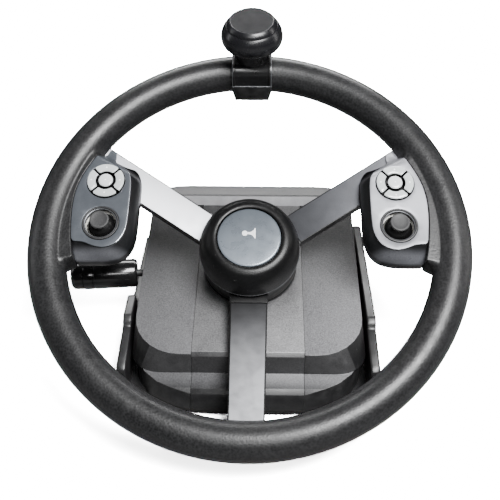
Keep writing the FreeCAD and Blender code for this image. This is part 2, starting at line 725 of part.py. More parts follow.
def clamp_block(name, split, end, chamfer):
    """A block from its flat split face to its end face, chamfered along two end edges."""
    low_y, high_y = RIM_TOP - DIMS["clamp_half"], RIM_TOP + DIMS["clamp_half"]
    shoulder = end - math.copysign(chamfer, end)
    return side_prism(name, [(low_y, split), (high_y, split), (high_y, shoulder),
                             (high_y - chamfer, end), (low_y + chamfer, end), (low_y, shoulder)],
                      dim("clamp_width"))


clamp_bore = torus("clamp_bore", dim("rim_major"), dim("grip_minor") + FIT)
clamp_holes = cylinders("clamp_hole", CLAMP_HOLE_R, 60, CLAMP_SCREWS, -30)
clamp_holes += cylinders("clamp_counterbore", 2.05, 10.0, CLAMP_SCREWS, -22.0)
upper_block = fuse("clamp_upper_solid", clamp_block("clamp_upper_block", 0.5, 19.0, 6.0),
                   cylinder("clamp_boss", 14.0, 10.4, (0, RIM_TOP, 17.0)))
taper = front_prism("clamp_taper", both_sides([(13.6, -18.0), (17.0, -4.0), (17.5, 2.0)]), 500.0)
lower_block = common("clamp_lower_tapered",
                     clamp_block("clamp_lower_block", 0.3, -17.0, 3.0), taper)
leaned(upper_block, lower_block, *clamp_holes)
upper_holes = leaned(cylinder("clamp_post_hole", dim("post_r"), 20, (0, RIM_TOP, 20.0)),
                     *cylinders("clamp_tap", CLAMP_HOLE_R, 10.5, CLAMP_SCREWS, 0))
wheel_part(cut("knob_clamp_upper", upper_block, clamp_bore, *upper_holes), "knob_clamp_upper")
wheel_part(cut("knob_clamp_lower", lower_block, clamp_bore, *clamp_holes), "knob_clamp_lower")
wheel_part(group("clamp_screws", *leaned(*headed_screws(
    "clamp_screw", CLAMP_SCREWS, head=(1.9, 2.0, -14.02), shank=(1.0, 20.0, -12.1)))),
    "clamp_screws")
spinner_part(turned("knob_post", [
    (0, 20.2), (dim("post_r") - 0.02, 20.2), (dim("post_r") - 0.02, 27.5), (9.0, 27.5),
    (9.0, 27.8), (dim("post_r"), 27.8), (dim("post_r"), 46.2), (6.4, 46.4), (6.4, 48.0),
    (0, 48.0)]), "knob_post")
spinner_part(turned("knob_shell", [
    (15.4, 28.0), (16.4, 28.8), (16.6, 30.4), (20.2, 31.4), (23.8, 33.4), (25.6, 36.2),
    (dim("knob_r"), 39.2), (25.4, 43.0), (23.8, 46.9), (20.9, 50.0), (7.4, 50.0), (7.4, 45.8),
    (dim("post_bore_r"), 45.8), (dim("post_bore_r"), 28.0)]), "knob_shell")
spinner_part(turned("knob_cap", [
    (0, 50.1), (20.8, 50.1), (20.0, 51.8), (18.6, 53.5), (17.4, 54.3), (0, 54.5)]), "knob_cap")

# ------------------------------------------------------------------ bearing block
# The stop gear's axle is one centre distance, plus a little backlash, to the right of the shaft.
GEAR_X = DIMS["gear_module"] * (DIMS["pinion_teeth"] + DIMS["gear_teeth"]) / 2.0 + 0.08
BLOCK_LOW = -92.0
EAR_TOP = -84.0
UPPER_SEAT = -68.0
seat_r = dim("bush_out_r") + SEAT_FIT

block_tube = cylinder("block_tube", dim("block_r"), 34.0, (0, 0, BLOCK_LOW))
block_ear = cylinder("block_ear", 10.0, EAR_TOP - BLOCK_LOW, (GEAR_X, 0, BLOCK_LOW))
block_bridge = box("block_bridge", (0, -9, BLOCK_LOW), (GEAR_X, 9, EAR_TOP))
# arc-shaped stop under the block, centred on the gear axle
stop_angles = range(156, 205, 8)
travel_stop = slab("travel_stop", [polar(25.0, a, GEAR_X) for a in stop_angles]
                   + [polar(31.0, a, GEAR_X) for a in reversed(stop_angles)], -94.6, -91.0)
block = cut("block_bored",
            fuse("block_local", block_tube, block_ear, block_bridge, travel_stop),
            cylinder("block_bore", 12.0, 50, (0, 0, -100)),
            cylinder("block_seat_a", seat_r, 30, (0, 0, UPPER_SEAT)),
            cylinder("block_seat_b", seat_r, 30, (0, 0, -112.0)),
            cylinder("block_axle_hole", dim("axle_r"), 30, (GEAR_X, 0, -100)))
place_on_wheel(block)
# the legs are upright in the base frame and are cleared along the tilted shaft
leg_rooms = [wheel_cylinder("block_bore_world", 12.2, 60, -110),
             wheel_cylinder("seat_room", seat_r, 60, -112),
             wheel_cylinder("gear_room", 37.5, 12, -104.0, x=GEAR_X),
             wheel_cylinder("pinion_room", 15.0, 30, -122.0)]
legs = cut("block_legs",
           fuse("block_legs_solid",
                box("front_leg", (-40, -17, SHELL_FOOT), (40, -9, 55.0)),
                box("front_foot", (-40, -26, SHELL_FOOT), (40, -9, 12.0)),
                box("rear_leg", (-44, 20, SHELL_FOOT), (-12, 30, 58.0)),
                box("rear_foot", (-44, 20, SHELL_FOOT), (-12, 42, 12.0))),
           *leg_rooms)
base_part(fuse("bearing_block", block, legs), "bearing_block")


# ------------------------------------------------------------------ bushes and travel-stop gear
def bush(name, z_low):
    return cut(name, cylinder(name + "_out", dim("bush_out_r"), dim("bush_len"), (0, 0, z_low)),
               cylinder(name + "_in", dim("bush_in_r"), 20, (0, 0, z_low - 4)))


wheel_part(group("shaft_bushes", bush("upper_bush", UPPER_SEAT), bush("lower_bush", BLOCK_LOW)),
           "shaft_bushes")
# turned by half a tooth so that a gap faces the pinion
gear = gear_solid("stop_gear_teeth", int(DIMS["gear_teeth"]), -101.4, DIMS["gear_thick"],
                  spin=180.0 + 180.0 / DIMS["gear_teeth"])
wheel_part(cut("stop_gear",
               fuse("stop_gear_solid", gear, cylinder("stop_peg", 2.5, 3.0, (28.0, 0, -96.0))),
               cylinder("stop_gear_bore", dim("axle_bore_r"), 20, (0, 0, -110))),
           "stop_gear", x=GEAR_X)
wheel_part(turned("gear_axle", [
    (0, EAR_TOP), (dim("axle_r"), EAR_TOP), (dim("axle_r"), -101.6), (6.5, -101.6),
    (6.5, -103.4), (0, -103.4)]), "gear_axle", x=GEAR_X)

# ------------------------------------------------------------------ upper shell, centre cover
SLOPE = math.radians(DIMS["panel_slope"])
FRONT, REAR = DIMS["front_y"], DIMS["rear_y"]


def panel_z(y, drop=0.0):
    """Height of the sloping panel at y, less a vertical drop."""
    return DIMS["panel_zero"] + math.tan(SLOPE) * y - drop


def panel_placement(z):
    return Placement(Vector(0, 0, z), Rotation(Vector(1, 0, 0), DIMS["panel_slope"]))


def u_outline(half, front, rear, corner, stretch=1.0):
    """An outline with two rounded front corners and a square rear, y scaled by stretch."""
    steps = 7
    quarter = [polar(corner, 270 + 90 * i / steps) for i in range(steps + 1)]
    right = [(half - corner + x, front + corner + y) for x, y in quarter] + [(half, rear)]
    return [(x, y * stretch) for x, y in both_sides(right)]


def shell_loft(body, tag, kind, wall, z_low, rear):
    """Ruled loft from a level outline to the sloping panel, both moved in by wall."""
    low_sketch = new_sketch(body, tag + "_low", offset=z_low)
    draw_polygon(low_sketch, u_outline(DIMS["shell_half"] - wall, FRONT + wall, rear,
                                       DIMS["low_corner"] - wall))
    face_sketch = new_sketch(body, tag + "_face")
    face_sketch.AttachmentOffset = panel_placement(DIMS["panel_zero"] - wall)
    draw_polygon(face_sketch, u_outline(DIMS["face_half"] - wall, FRONT + wall, rear,
                                        DIMS["face_corner"] - wall, 1.0 / math.cos(SLOPE)))
    ruled_loft(body, kind, tag + "_loft", low_sketch, face_sketch)
    doc.recompute()


upper = new_body("upper_shell_body")
shell_loft(upper, "upper_out", "AdditiveLoft", 0.0, DIMS["split_z"], REAR)
shell_loft(upper, "upper_in", "SubtractiveLoft", DIMS["wall"], DIMS["split_z"] - 1.0, REAR + 10)

# The cover strip runs over the panel and down the front. Profiles are (y, z).
thick = DIMS["strip_thick"]
strip_rear = REAR - 0.3
strip_outside = [
    (strip_rear, panel_z(strip_rear)), (FRONT + 3.0, panel_z(FRONT + 3.0)),
    (FRONT, panel_z(FRONT) - 2.4), (FRONT, 31.0), (-99.6, 28.4), (-103.4, 25.0),
    (-104.4, 20.0), (-104.4, 8.2)]
strip_inside = [
    (-102.4, 8.2), (-102.4, 20.0), (-101.6, 24.2), (-98.8, 26.4), (FRONT + thick, 28.8),
    (FRONT + thick, panel_z(FRONT + thick, 4.4)), (FRONT + 4.0, panel_z(FRONT + 4.0, thick)),
    (strip_rear, panel_z(strip_rear, thick))]
strip_solid = side_prism("strip_solid", strip_outside + strip_inside, 2 * dim("strip_half"))
# room for the strip in both shells, with 0.1 to 0.15 clearance
recess = side_prism("strip_recess", [
    (REAR + 5, panel_z(REAR + 5) + 6), (FRONT - 8, panel_z(FRONT - 8) + 6), (FRONT - 8, 34.0),
    (-112.0, 32.0), (-112.0, 8.0), (-102.3, 8.0), (-102.3, 20.1), (-101.48, 24.05),
    (-98.6, 26.2), (FRONT + thick + 0.1, 28.7),
    (FRONT + thick + 0.1, panel_z(FRONT + thick, 4.45)),
    (FRONT + 4.05, panel_z(FRONT + 4.05, thick + 0.1)),
    (REAR + 5, panel_z(REAR + 5, thick + 0.1))], 2 * dim("strip_half") + 0.3)
neck = wheel_cylinder("neck_opening", dim("neck_hole_r"), 90, -100)
lever_hole = cylinder("lever_opening", 9.6, 20, (-105, dim("lever_y"), dim("lever_z")), X_AXIS)
base_part(cut("upper_shell", upper, recess, neck, lever_hole), "upper_shell")
base_part(cut("centre_cover", strip_solid, neck), "centre_cover")

# collar: fixed ring between the panel and the turning hub skirt
collar_tube = cut("collar_tube", cylinder("collar_out", 39.4, 60.0, (0, 0, -103.2)),
                  cylinder("collar_in", 34.2, 80, (0, 0, -110)))
place_on_wheel(collar_tube)
panel_under = box("panel_under", (-60, -100, -80), (60, 120, 0))
panel_under.Placement = panel_placement(DIMS["panel_zero"] + 0.06).multiply(panel_under.Placement)
base_part(cut("neck_collar", collar_tube, panel_under), "neck_collar")

# ------------------------------------------------------------------ lower shell
# The chin runs out in front of the upper shell. Right half of its outline, (x, y).
CHIN_RIGHT = [
    (30.0, -104.3), (46.0, -103.0), (60.0, -99.6), (72.0, -93.8), (82.0, -85.0),
    (89.6, -72.0), (93.6, -56.0), (95.0, -40.0), (95.0, 84.8)]
CHIN_INNER_SCALE = 0.962
CASE_SCREWS = ((-86, 60), (86, 60), (-84, -58), (84, -58))

lower = slab("lower_shell_body", both_sides(CHIN_RIGHT), SHELL_FOOT, dim("split_z") - 0.1)
chin_room = [(x * CHIN_INNER_SCALE, y * CHIN_INNER_SCALE if y < 0 else 90.0)
             for x, y in CHIN_RIGHT]
pocket(lower, "chin_room", draw_polygon, both_sides(chin_room), z=27.5, depth=30.0)
pocket(lower, "deck_opening", draw_polygon, both_sides([(70, -76), (84, -60), (84, 90)]),
       z=40.0, depth=40.0)
# takes the chin's upper front edge down to the slope of the strip, (y, z)
wedge = side_prism("chin_wedge", [
    (-85.6, 31.0), (-85.6, 33.0), (-115.0, 33.0), (-115.0, 8.0), (-108.0, 8.0),
    (-104.5, 20.0), (-103.4, 25.0), (-99.6, 28.4)], 220.0)
bosses = cylinders("shell_boss", 4.2, 22.0, CASE_SCREWS, SHELL_FOOT)
boss_holes = cylinders("shell_boss_hole", dim("screw_r") + 0.03, 40.0, CASE_SCREWS, 0)
base_part(cut("lower_shell", fuse("lower_with_bosses", lower, *bosses), wedge, recess,
              *boss_holes), "lower_shell")

# ------------------------------------------------------------------ rear cover and socket
# Raised hood across the back. Right halves of its outlines, (x, y).
REAR_OUTER = [(58.0, 103.6), (72.0, 102.4), (84.0, 97.0), (90.0, 88.0), (90.0, 85.1)]
REAR_INNER = [(57.6, 100.1), (71.0, 98.9), (81.8, 94.0), (86.5, 87.0), (86.5, 80.0)]
rear = slab("rear_body", both_sides(REAR_OUTER), SHELL_FOOT, 90.6)
pocket(rear, "rear_room", draw_polygon, both_sides(REAR_INNER), z=78.0, depth=90.0)
groove = box("hood_groove", (-74, 86.4, 89.6), (74, 87.6, 95.0))
rear_taper = front_prism("rear_taper", both_sides([(80.0, 91.0), (91.0, 76.0), (91.0, 0.0)]),
                         400.0)
socket_hole = box("socket_hole", (33.9, 95.0, 14.9), (46.1, 110.0, 26.1))
base_part(cut("rear_cover", common("rear_tapered", rear, rear_taper), groove, socket_hole),
          "rear_cover")
socket = cut("socket_cut", box("socket_shell", (34.0, 88.0, 15.0), (46.0, 103.4, 26.0)),
             box("socket_mouth", (35.6, 92.0, 16.6), (44.4, 110.0, 24.4)))
tongue = box("socket_tongue", (37.6, 91.0, 19.2), (42.4, 102.0, 21.8))
base_part(fuse("usb_socket", socket, tongue), "usb_socket")

# ------------------------------------------------------------------ floor plate, mat, fasteners
# Right halves of the outlines, (x, y), from the front middle to the rear.
FLOOR_RIGHT = [
    (30.0, -103.6), (45.5, -102.4), (59.5, -99.0), (71.0, -93.4), (80.0, -86.0),
    (dim("plate_half"), dim("plate_front")), (dim("plate_half"), dim("plate_rear"))]
MAT_RIGHT = [
    (29, -100.4), (44, -99.2), (58, -95.8), (69, -90.4), (80, -82), (100, -78), (100, 92),
    (92, 100)]
RIG_SPOTS = [(side_x * dim("rig_x"), side_y * dim("rig_y"))
             for side_x in (-1, 1) for side_y in (-1, 1)]

floor_low = dim("mat_thick") + 0.02
floor = slab("floor_body", both_sides(FLOOR_RIGHT), floor_low, floor_low + dim("sheet_thick"))
rig_bosses = cylinders("rig_boss", 5.2, 11.0, RIG_SPOTS, 5.1)
base_part(cut("base_plate", fuse("floor_with_bosses", floor, *rig_bosses),
              *cylinders("rig_hole", dim("rig_hole_r"), 40.0, RIG_SPOTS, -5),
              *cylinders("plate_hole", dim("screw_r") + 0.1, 20.0, CASE_SCREWS, 0)),
          "base_plate")
mat_holes = [(x, y, 7.0) for x, y in RIG_SPOTS] + [(x, y, 4.4) for x, y in CASE_SCREWS]
base_part(slab("desk_mat", both_sides(MAT_RIGHT), 0.0, dim("mat_thick"), holes=mat_holes),
          "desk_mat")
base_part(group("case_screws", *headed_screws(
    "case_screw", CASE_SCREWS, head=(3.2, 2.4, 2.58), shank=(dim("screw_r"), 20.0, 4.9))),
    "case_screws")

# ------------------------------------------------------------------ cheeks and main board
# side profile of a cheek, (y, z)
CHEEK = [
    (103.0, INNER_FOOT), (103.0, 43.0), (99.0, 49.6), (92.0, 52.0), (-40.0, 52.0),
    (-44.5, 49.5), (-47.0, 45.4), (-83.0, 38.4), (-88.0, 34.5), (-88.0, INNER_FOOT)]
base_part(side_prism("cheek_right", CHEEK, dim("cheek_thick"), start=dim("cheek_in")),
          "cheek_right")
left_cheek = side_prism("cheek_left_full", CHEEK, dim("cheek_thick"),
                        start=-1 * dim("cheek_in") - dim("cheek_thick"))
base_part(cut("cheek_left", left_cheek, box("cheek_notch", (-110, -13, 32.0), (-92, 110, 60.0))),
          "cheek_left")

# chips: x, y of the corner, then size along x and along y
CHIPS = ((-40, 52, 14, 14), (-16, 50, 8, 10), (2, 60, 10, 6), (24, 50, 12, 8))
STANDOFFS = ((-53, 49), (53, 49), (-53, 73), (53, 73))
board = box("board_sheet", (-58, 44, 18.0), (58, 78, 19.6))
chips = [box(f"chip_{k}", (x, y, 19.5), (x + size_x, y + size_y, 21.2))
         for k, (x, y, size_x, size_y) in enumerate(CHIPS)]
base_part(fuse("main_board", board, *chips,
               *cylinders("standoff", 2.6, 9.9, STANDOFFS, INNER_FOOT)), "main_board")

# ------------------------------------------------------------------ side lever on a two-axis gimbal
# The lever points out to the left from its pivot at lever_x, lever_y, lever_z.
LEVER_X, LEVER_Y, LEVER_Z = DIMS["lever_x"], DIMS["lever_y"], DIMS["lever_z"]
GIMBAL_PIN_R, GIMBAL_HOLE_R = 2.0, 2.05
GRIP_START, GRIP_END = -99.8, -146.0   # x of the grip's two ends


def lever_box(name, low, high):
    """A box with its corners measured from the lever pivot."""
    pivot = (LEVER_X, LEVER_Y, LEVER_Z)
    return box(name, [p + c for p, c in zip(pivot, low)], [p + c for p, c in zip(pivot, high)])


yoke = cut("lever_yoke",
           fuse("yoke_solid",
                lever_box("yoke_block", (-5, -9.5, -6.8), (5, 9.5, 6.8)),
                cylinder("yoke_pin_top", GIMBAL_PIN_R, 3.2, (LEVER_X, LEVER_Y, LEVER_Z + 6.5)),
                cylinder("yoke_pin_low", GIMBAL_PIN_R, 3.2, (LEVER_X, LEVER_Y, LEVER_Z - 9.7))),
           lever_box("yoke_window", (-8, -4.6, -4.9), (8, 4.6, 4.9)),
           cylinder("yoke_cross_hole", GIMBAL_HOLE_R, 30, (LEVER_X, LEVER_Y - 15, LEVER_Z),
                    Y_AXIS))
base_part(yoke, "lever_yoke")

foot_z = INNER_FOOT - LEVER_Z
base_part(cut("lever_bracket",
              fuse("bracket_solid",
                   lever_box("bracket_back", (10.5, -7, foot_z), (14.5, 7, 9.3)),
                   lever_box("bracket_top", (-5, -6, 7.3), (14.5, 6, 9.3)),
                   lever_box("bracket_low", (-5, -6, -9.9), (14.5, 6, -7.3)),
                   lever_box("bracket_foot", (10.5, -7, foot_z), (30.0, 7, foot_z + 3.0))),
              cylinder("bracket_pin_hole", GIMBAL_HOLE_R, 60, (LEVER_X, LEVER_Y, LEVER_Z - 30))),
          "lever_bracket")

rod = fuse("lever_rod",
           cylinder("rod_bar", dim("lever_rod_r"), 66.0, (LEVER_X + 7, LEVER_Y, LEVER_Z), MINUS_X),
           cylinder("rod_cross_pin", GIMBAL_PIN_R, 18.6, (LEVER_X, LEVER_Y - 9.3, LEVER_Z),
                    Y_AXIS))
base_part(rod, "lever_rod")
lever_grip = cut("lever_grip",
                 cylinder("lever_grip_bar", dim("lever_grip_r"), GRIP_START - GRIP_END,
                          (GRIP_START, LEVER_Y, LEVER_Z), MINUS_X),
                 cylinder("lever_grip_bore", dim("lever_rod_r") + 0.03, 80,
                          (-90, LEVER_Y, LEVER_Z), MINUS_X))
base_part(lever_grip, "lever_grip")
lever_cap = turned("lever_cap_body", [(0, 0), (11.9, 0), (11.9, 7.5), (9.4, 10.6), (0, 11.4)])
place_at(lever_cap, (GRIP_END - 0.2, LEVER_Y, LEVER_Z), MINUS_X)
base_part(lever_cap, "lever_end_cap")

# the moving pieces are swung about the vertical through the pivot
swing = Placement(Vector(LEVER_X, LEVER_Y, LEVER_Z),
                  Rotation(Vector(0, 0, 1), DIMS["lever_lean"])).multiply(
    Placement(Vector(-LEVER_X, -LEVER_Y, -LEVER_Z), Rotation()))
for piece in (yoke, rod, lever_grip, lever_cap):
    piece.Placement = swing.multiply(piece.Placement)

# ------------------------------------------------------------------ check and export
doc.recompute()
for obj in doc.Objects:
    if "Invalid" in obj.State or "Error" in obj.State:
        raise RuntimeError(f"{obj.Name} failed: {obj.State}")
for label, obj in PARTS:
    if obj.Shape.isNull() or not obj.Shape.isValid() or not obj.Shape.Solids:
        raise RuntimeError(f"{label} has no valid solid")
for label, obj in PARTS:
    obj.Shape.exportStep(f"parts/{label}.step")
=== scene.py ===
"""A desk-top steering wheel controller: a tilted wheel with two control pods, a hub with a horn
button and a spinner knob, on a base with a side lever.

Base frame: X to the driver's right, Y away from the driver, Z up, desk at z = 0.
Wheel frame: origin at the hub, x right, y up the tilted wheel, z along its axis to the driver.
Shapes are worked out in millimetres and placed in metres.
"""
import math

import bmesh
import bpy
import numpy as np
from mathutils import Matrix, Vector
from mathutils.geometry import delaunay_2d_cdt


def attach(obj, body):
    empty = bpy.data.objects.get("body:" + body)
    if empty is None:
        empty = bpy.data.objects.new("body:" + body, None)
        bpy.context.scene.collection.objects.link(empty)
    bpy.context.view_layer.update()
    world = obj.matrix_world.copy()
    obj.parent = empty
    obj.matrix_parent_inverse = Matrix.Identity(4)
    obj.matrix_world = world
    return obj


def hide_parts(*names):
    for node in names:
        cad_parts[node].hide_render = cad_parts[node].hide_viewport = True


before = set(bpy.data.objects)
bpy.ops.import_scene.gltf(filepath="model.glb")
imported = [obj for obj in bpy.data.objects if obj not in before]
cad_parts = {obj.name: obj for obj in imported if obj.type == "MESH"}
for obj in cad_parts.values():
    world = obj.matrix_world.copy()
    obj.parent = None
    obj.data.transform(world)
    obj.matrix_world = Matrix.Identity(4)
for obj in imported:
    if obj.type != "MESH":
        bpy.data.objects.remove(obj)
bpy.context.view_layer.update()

MM = 1e-3
TILT_COS, TILT_SIN = math.cos(math.radians(30.0)), 0.5    # the wheel is tilted by 30 degrees
WHEEL_AXIS = np.array([0.0, -TILT_SIN, TILT_COS])
WHEEL_UP = np.array([0.0, TILT_COS, TILT_SIN])
HUB = np.array([0.0, -24.0, 119.0])                       # wheel centre in the base frame


# ---------------------------------------------------------------- material helpers
class Graph:
    """A new material and short ways to add nodes to it."""

    def __init__(self, name):
        self.mat = bpy.data.materials.new(name)
        self.mat.use_nodes = True
        self.tree = self.mat.node_tree
        self.tree.nodes.clear()
        self.out = self.add("ShaderNodeOutputMaterial")
        self.coord = self.add("ShaderNodeTexCoord")

    def add(self, kind, **inputs):
        """Adds a node; an underscore in a keyword stands for a space in the input's name."""
        node = self.tree.nodes.new(kind)
        for key, value in inputs.items():
            node.inputs[key.replace("_", " ")].default_value = value
        return node

    def link(self, source, target):
        self.tree.links.new(source, target)

    def noise(self, scale, detail=2.0, rough=0.5, stretch=None):
        node = self.add("ShaderNodeTexNoise", Scale=scale, Detail=detail, Roughness=rough)
        place = self.coord.outputs["Object"]
        if stretch is not None:
            mapping = self.add("ShaderNodeMapping", Scale=stretch)
            self.link(place, mapping.inputs["Vector"])
            place = mapping.outputs["Vector"]
        self.link(place, node.inputs["Vector"])
        return node.outputs["Fac"]

    def cells(self, scale):
        node = self.add("ShaderNodeTexVoronoi", Scale=scale)
        self.link(self.coord.outputs["Object"], node.inputs["Vector"])
        return node.outputs["Distance"]

    def remap(self, source, span, to, ease=False):
        node = self.add("ShaderNodeMapRange", From_Min=span[0], From_Max=span[1],
                        To_Min=to[0], To_Max=to[1])
        if ease:
            node.interpolation_type = "SMOOTHSTEP"
        self.link(source, node.inputs["Value"])
        return node.outputs["Result"]

    def calc(self, operation, *values):
        """A maths node on two values, each a number or a socket."""
        node = self.add("ShaderNodeMath")
        node.operation = operation
        for socket, value in zip(node.inputs, values):
            if isinstance(value, (int, float)):
                socket.default_value = value
            else:
                self.link(value, socket)
        return node.outputs[0]

    def vector(self, operation, source, other=None):
        node = self.add("ShaderNodeVectorMath")
        node.operation = operation
        if other is not None:
            node.inputs[1].default_value = other
        self.link(source, node.inputs[0])
        return node

    def mix(self, factor, first, second):
        """Blends two colours, each an RGB tuple or a socket."""
        node = self.add("ShaderNodeMix")
        node.data_type = "RGBA"
        self.link(factor, node.inputs[0])
        for number, value in ((6, first), (7, second)):
            if isinstance(value, tuple):
                node.inputs[number].default_value = (*value, 1.0)
            else:
                self.link(value, node.inputs[number])
        return node.outputs[2]


FINISH = {}


def painted_light_ramp(direction, span, gain, start=(0, 0, 0)):
    """Painted light and shade: a ramp from gain[0] to gain[1] over span mm along direction from
    start, for colour and specular level.
    """
    return direction, span, gain, start


def surface(name, base, rough, grain=1500, depth=0.008, contrast=0.06, specular=0.5,
            metallic=0.0, coat=0.0, wear=0.2, patch=0.12, dust=(0.35, 0.35, 0.35),
            pebble=False, brushed=None, painted_light_ramps=()):
    """A surface with fine grain, slow tone drift, worn edges, a little dust and ramps of painted
    light and shade.

    grain is the noise scale, depth the bump in mm, contrast the colour swing of the grain,
    wear the lightening of edges, patch the strength of the slow drift. pebble adds cells,
    brushed stretches the grain, and the last argument lists ramps of painted light and shade.
    """
    g = Graph(name)
    shader = g.add("ShaderNodeBsdfPrincipled", Metallic=metallic, Specular_IOR_Level=specular,
                   Coat_Weight=coat, Coat_Roughness=0.12)
    fine = g.noise(grain, detail=3.0, rough=0.6)
    slow = g.noise(22.0)
    middle = g.noise(120.0, detail=3.0, rough=0.55)
    height = fine
    if pebble:
        height = g.calc("ADD", g.cells(grain * 0.62), g.calc("MULTIPLY", fine, 0.6))
    elif brushed is not None:
        lines = g.noise(260.0, detail=3.0, rough=0.65, stretch=brushed)
        height = g.calc("ADD", lines, g.calc("MULTIPLY", fine, 0.25))

    # grain colour, then the slow drift towards a lighter tone
    speck = g.remap(height, span=(0.3, 1.15 if pebble else 0.75), to=(0.0, 1.0))
    dark = tuple(c * (1.0 - contrast) for c in base)
    light = tuple(min(1.0, c * (1.0 + contrast)) for c in base)
    drifted = tuple(min(1.0, c * 1.5 + 0.003) for c in base)
    worn = tuple(min(1.0, c * 2.2 + 0.02) for c in base)
    colour = g.mix(speck, dark, light)
    drift = g.remap(slow, span=(0.35, 0.65), to=(0.0, 1.0))
    colour = g.mix(g.calc("MULTIPLY", drift, patch), colour, drifted)

    # rubbed edges, broken up by the middle noise, and dust specks
    pointiness = g.add("ShaderNodeNewGeometry").outputs["Pointiness"]
    edge = g.remap(pointiness, span=(0.52, 0.60), to=(0.0, 1.0))
    broken = g.remap(middle, span=(0.4, 0.65), to=(0.2, 1.0))
    rub = g.calc("MULTIPLY", g.calc("MULTIPLY", edge, broken), wear)
    colour = g.mix(rub, colour, worn)
    specks = g.noise(520.0, rough=0.7)
    colour = g.mix(g.remap(specks, span=(0.70, 0.76), to=(0.0, 0.18)), colour, dust)

    # painted light and shade: each ramp scales the colour, and their product scales the specular
    # level as a painted sheen
    painted_spec_gain = None
    for direction, span, gain, start in painted_light_ramps:
        away = g.vector("SUBTRACT", g.coord.outputs["Object"], [c * MM for c in start])
        along = g.vector("DOT_PRODUCT", away.outputs["Vector"], tuple(direction))
        ease = g.remap(along.outputs["Value"], [c * MM for c in span], gain, ease=True)
        scaled = g.vector("SCALE", colour)
        g.link(ease, scaled.inputs["Scale"])
        colour = scaled.outputs["Vector"]
        painted_spec_gain = ease if painted_spec_gain is None else g.calc("MULTIPLY", painted_spec_gain, ease)
    g.link(colour, shader.inputs["Base Color"])
    if painted_spec_gain is not None:
        g.link(g.calc("MULTIPLY", g.calc("MINIMUM", painted_spec_gain, 1.2), specular),
               shader.inputs["Specular IOR Level"])

    tone = g.calc("ADD", g.remap(middle, span=(0.3, 0.7), to=(-0.05, 0.05)),
                  g.remap(slow, span=(0.3, 0.7), to=(-0.03, 0.03)))
    g.link(g.calc("ADD", tone, rough), shader.inputs["Roughness"])
    bump = g.add("ShaderNodeBump", Strength=0.75, Distance=depth * MM)
    g.link(height, bump.inputs["Height"])
    g.link(bump.outputs["Normal"], shader.inputs["Normal"])
    g.link(shader.outputs["BSDF"], g.out.inputs["Surface"])
    FINISH[name] = g.mat


# ---------------------------------------------------------------- materials
RIGHT, AWAY = (1, 0, 0), (0, 1, 0)
CHARCOAL = dict(rough=0.46, grain=900, depth=0.16, contrast=0.50, specular=0.55, wear=0.35)
CLEAR_KEY = dict(grain=1400, specular=0.55, coat=0.5)

surface("rim_rubber", base=(0.010, 0.010, 0.0105), rough=0.37, grain=980, depth=0.09,
        contrast=0.8, specular=0.45, pebble=True, wear=0.1, dust=(0.12, 0.12, 0.12))
# painted shadow and light: darker away from the driver, where the hub's shadow falls, and
# lighter to the right
surface("panel_charcoal", base=(0.072, 0.072, 0.075), **CHARCOAL,
        painted_light_ramps=[painted_light_ramp(AWAY, span=(-70, 50), gain=(1.25, 0.16)),
               painted_light_ramp(RIGHT, span=(-90, 90), gain=(0.95, 1.5))])
# painted shadow and light: darker away from the driver, where the hub's shadow falls, and
# lighter to the right
surface("strip_charcoal", base=(0.098, 0.098, 0.100), **CHARCOAL,
        painted_light_ramps=[painted_light_ramp(AWAY, span=(-75, 10), gain=(1.1, 0.35)),
               painted_light_ramp(RIGHT, span=(-40, 40), gain=(1.0, 1.6))])
# painted light and shade: the chin's front edge darker, its right side lighter
surface("chin_charcoal", base=(0.075, 0.075, 0.078), rough=0.44, grain=900, depth=0.14,
        contrast=0.45, wear=0.35,
        painted_light_ramps=[painted_light_ramp(AWAY, span=(-104, -88), gain=(0.35, 1.1)),
               painted_light_ramp(RIGHT, span=(-90, 90), gain=(0.8, 1.5))])
# painted shade: a darker copy of the charcoal for the walls that face the driver
surface("front_wall", base=(0.026, 0.026, 0.027), rough=0.45, grain=950, depth=0.12,
        contrast=0.5, wear=0.3)
surface("shell_black", base=(0.008, 0.008, 0.0085), rough=0.40, grain=1000, depth=0.08,
        contrast=0.45, specular=0.45, wear=0.5)
surface("hood_grey", base=(0.033, 0.033, 0.034), rough=0.48, grain=1000, depth=0.07,
        contrast=0.35, wear=0.3)
surface("hood_riser", base=(0.28, 0.28, 0.29), rough=0.42, grain=1000, depth=0.04, contrast=0.12)
surface("cheek_black", base=(0.013, 0.013, 0.0135), rough=0.36, grain=1100, depth=0.05,
        contrast=0.4, wear=0.8)
surface("dome_black", base=(0.0028, 0.0028, 0.003), rough=0.36, grain=1200, depth=0.10,
        contrast=0.5, specular=0.28)
surface("collar_black", base=(0.0025, 0.0025, 0.0027), rough=0.42, grain=1200, depth=0.05,
        contrast=0.4, specular=0.25)
# painted light on the pod's lower front face, up to eleven times brighter, and painted shade on
# its back
surface("pod_black", base=(0.0075, 0.0077, 0.0085), rough=0.34, grain=1200, depth=0.02,
        contrast=0.2, specular=0.32, wear=0.1, dust=(0.03, 0.03, 0.03),
        painted_light_ramps=[painted_light_ramp(WHEEL_UP, span=(-17, -10), gain=(11.0, 1.0), start=HUB),
               painted_light_ramp(WHEEL_AXIS, span=(-6, -2), gain=(0.25, 1.0), start=HUB)])
surface("knob_black", base=(0.006, 0.006, 0.0072), rough=0.27, grain=1400, contrast=0.15,
        specular=0.55, wear=0.1, dust=(0.03, 0.03, 0.03))
surface("knob_disc", base=(0.004, 0.004, 0.0052), rough=0.52, depth=0.02, contrast=0.2,
        specular=0.15, wear=0.1, dust=(0.02, 0.02, 0.02))
surface("clamp_black", base=(0.007, 0.007, 0.0073), rough=0.32, grain=1300, depth=0.03,
        contrast=0.3, specular=0.45, wear=0.5)
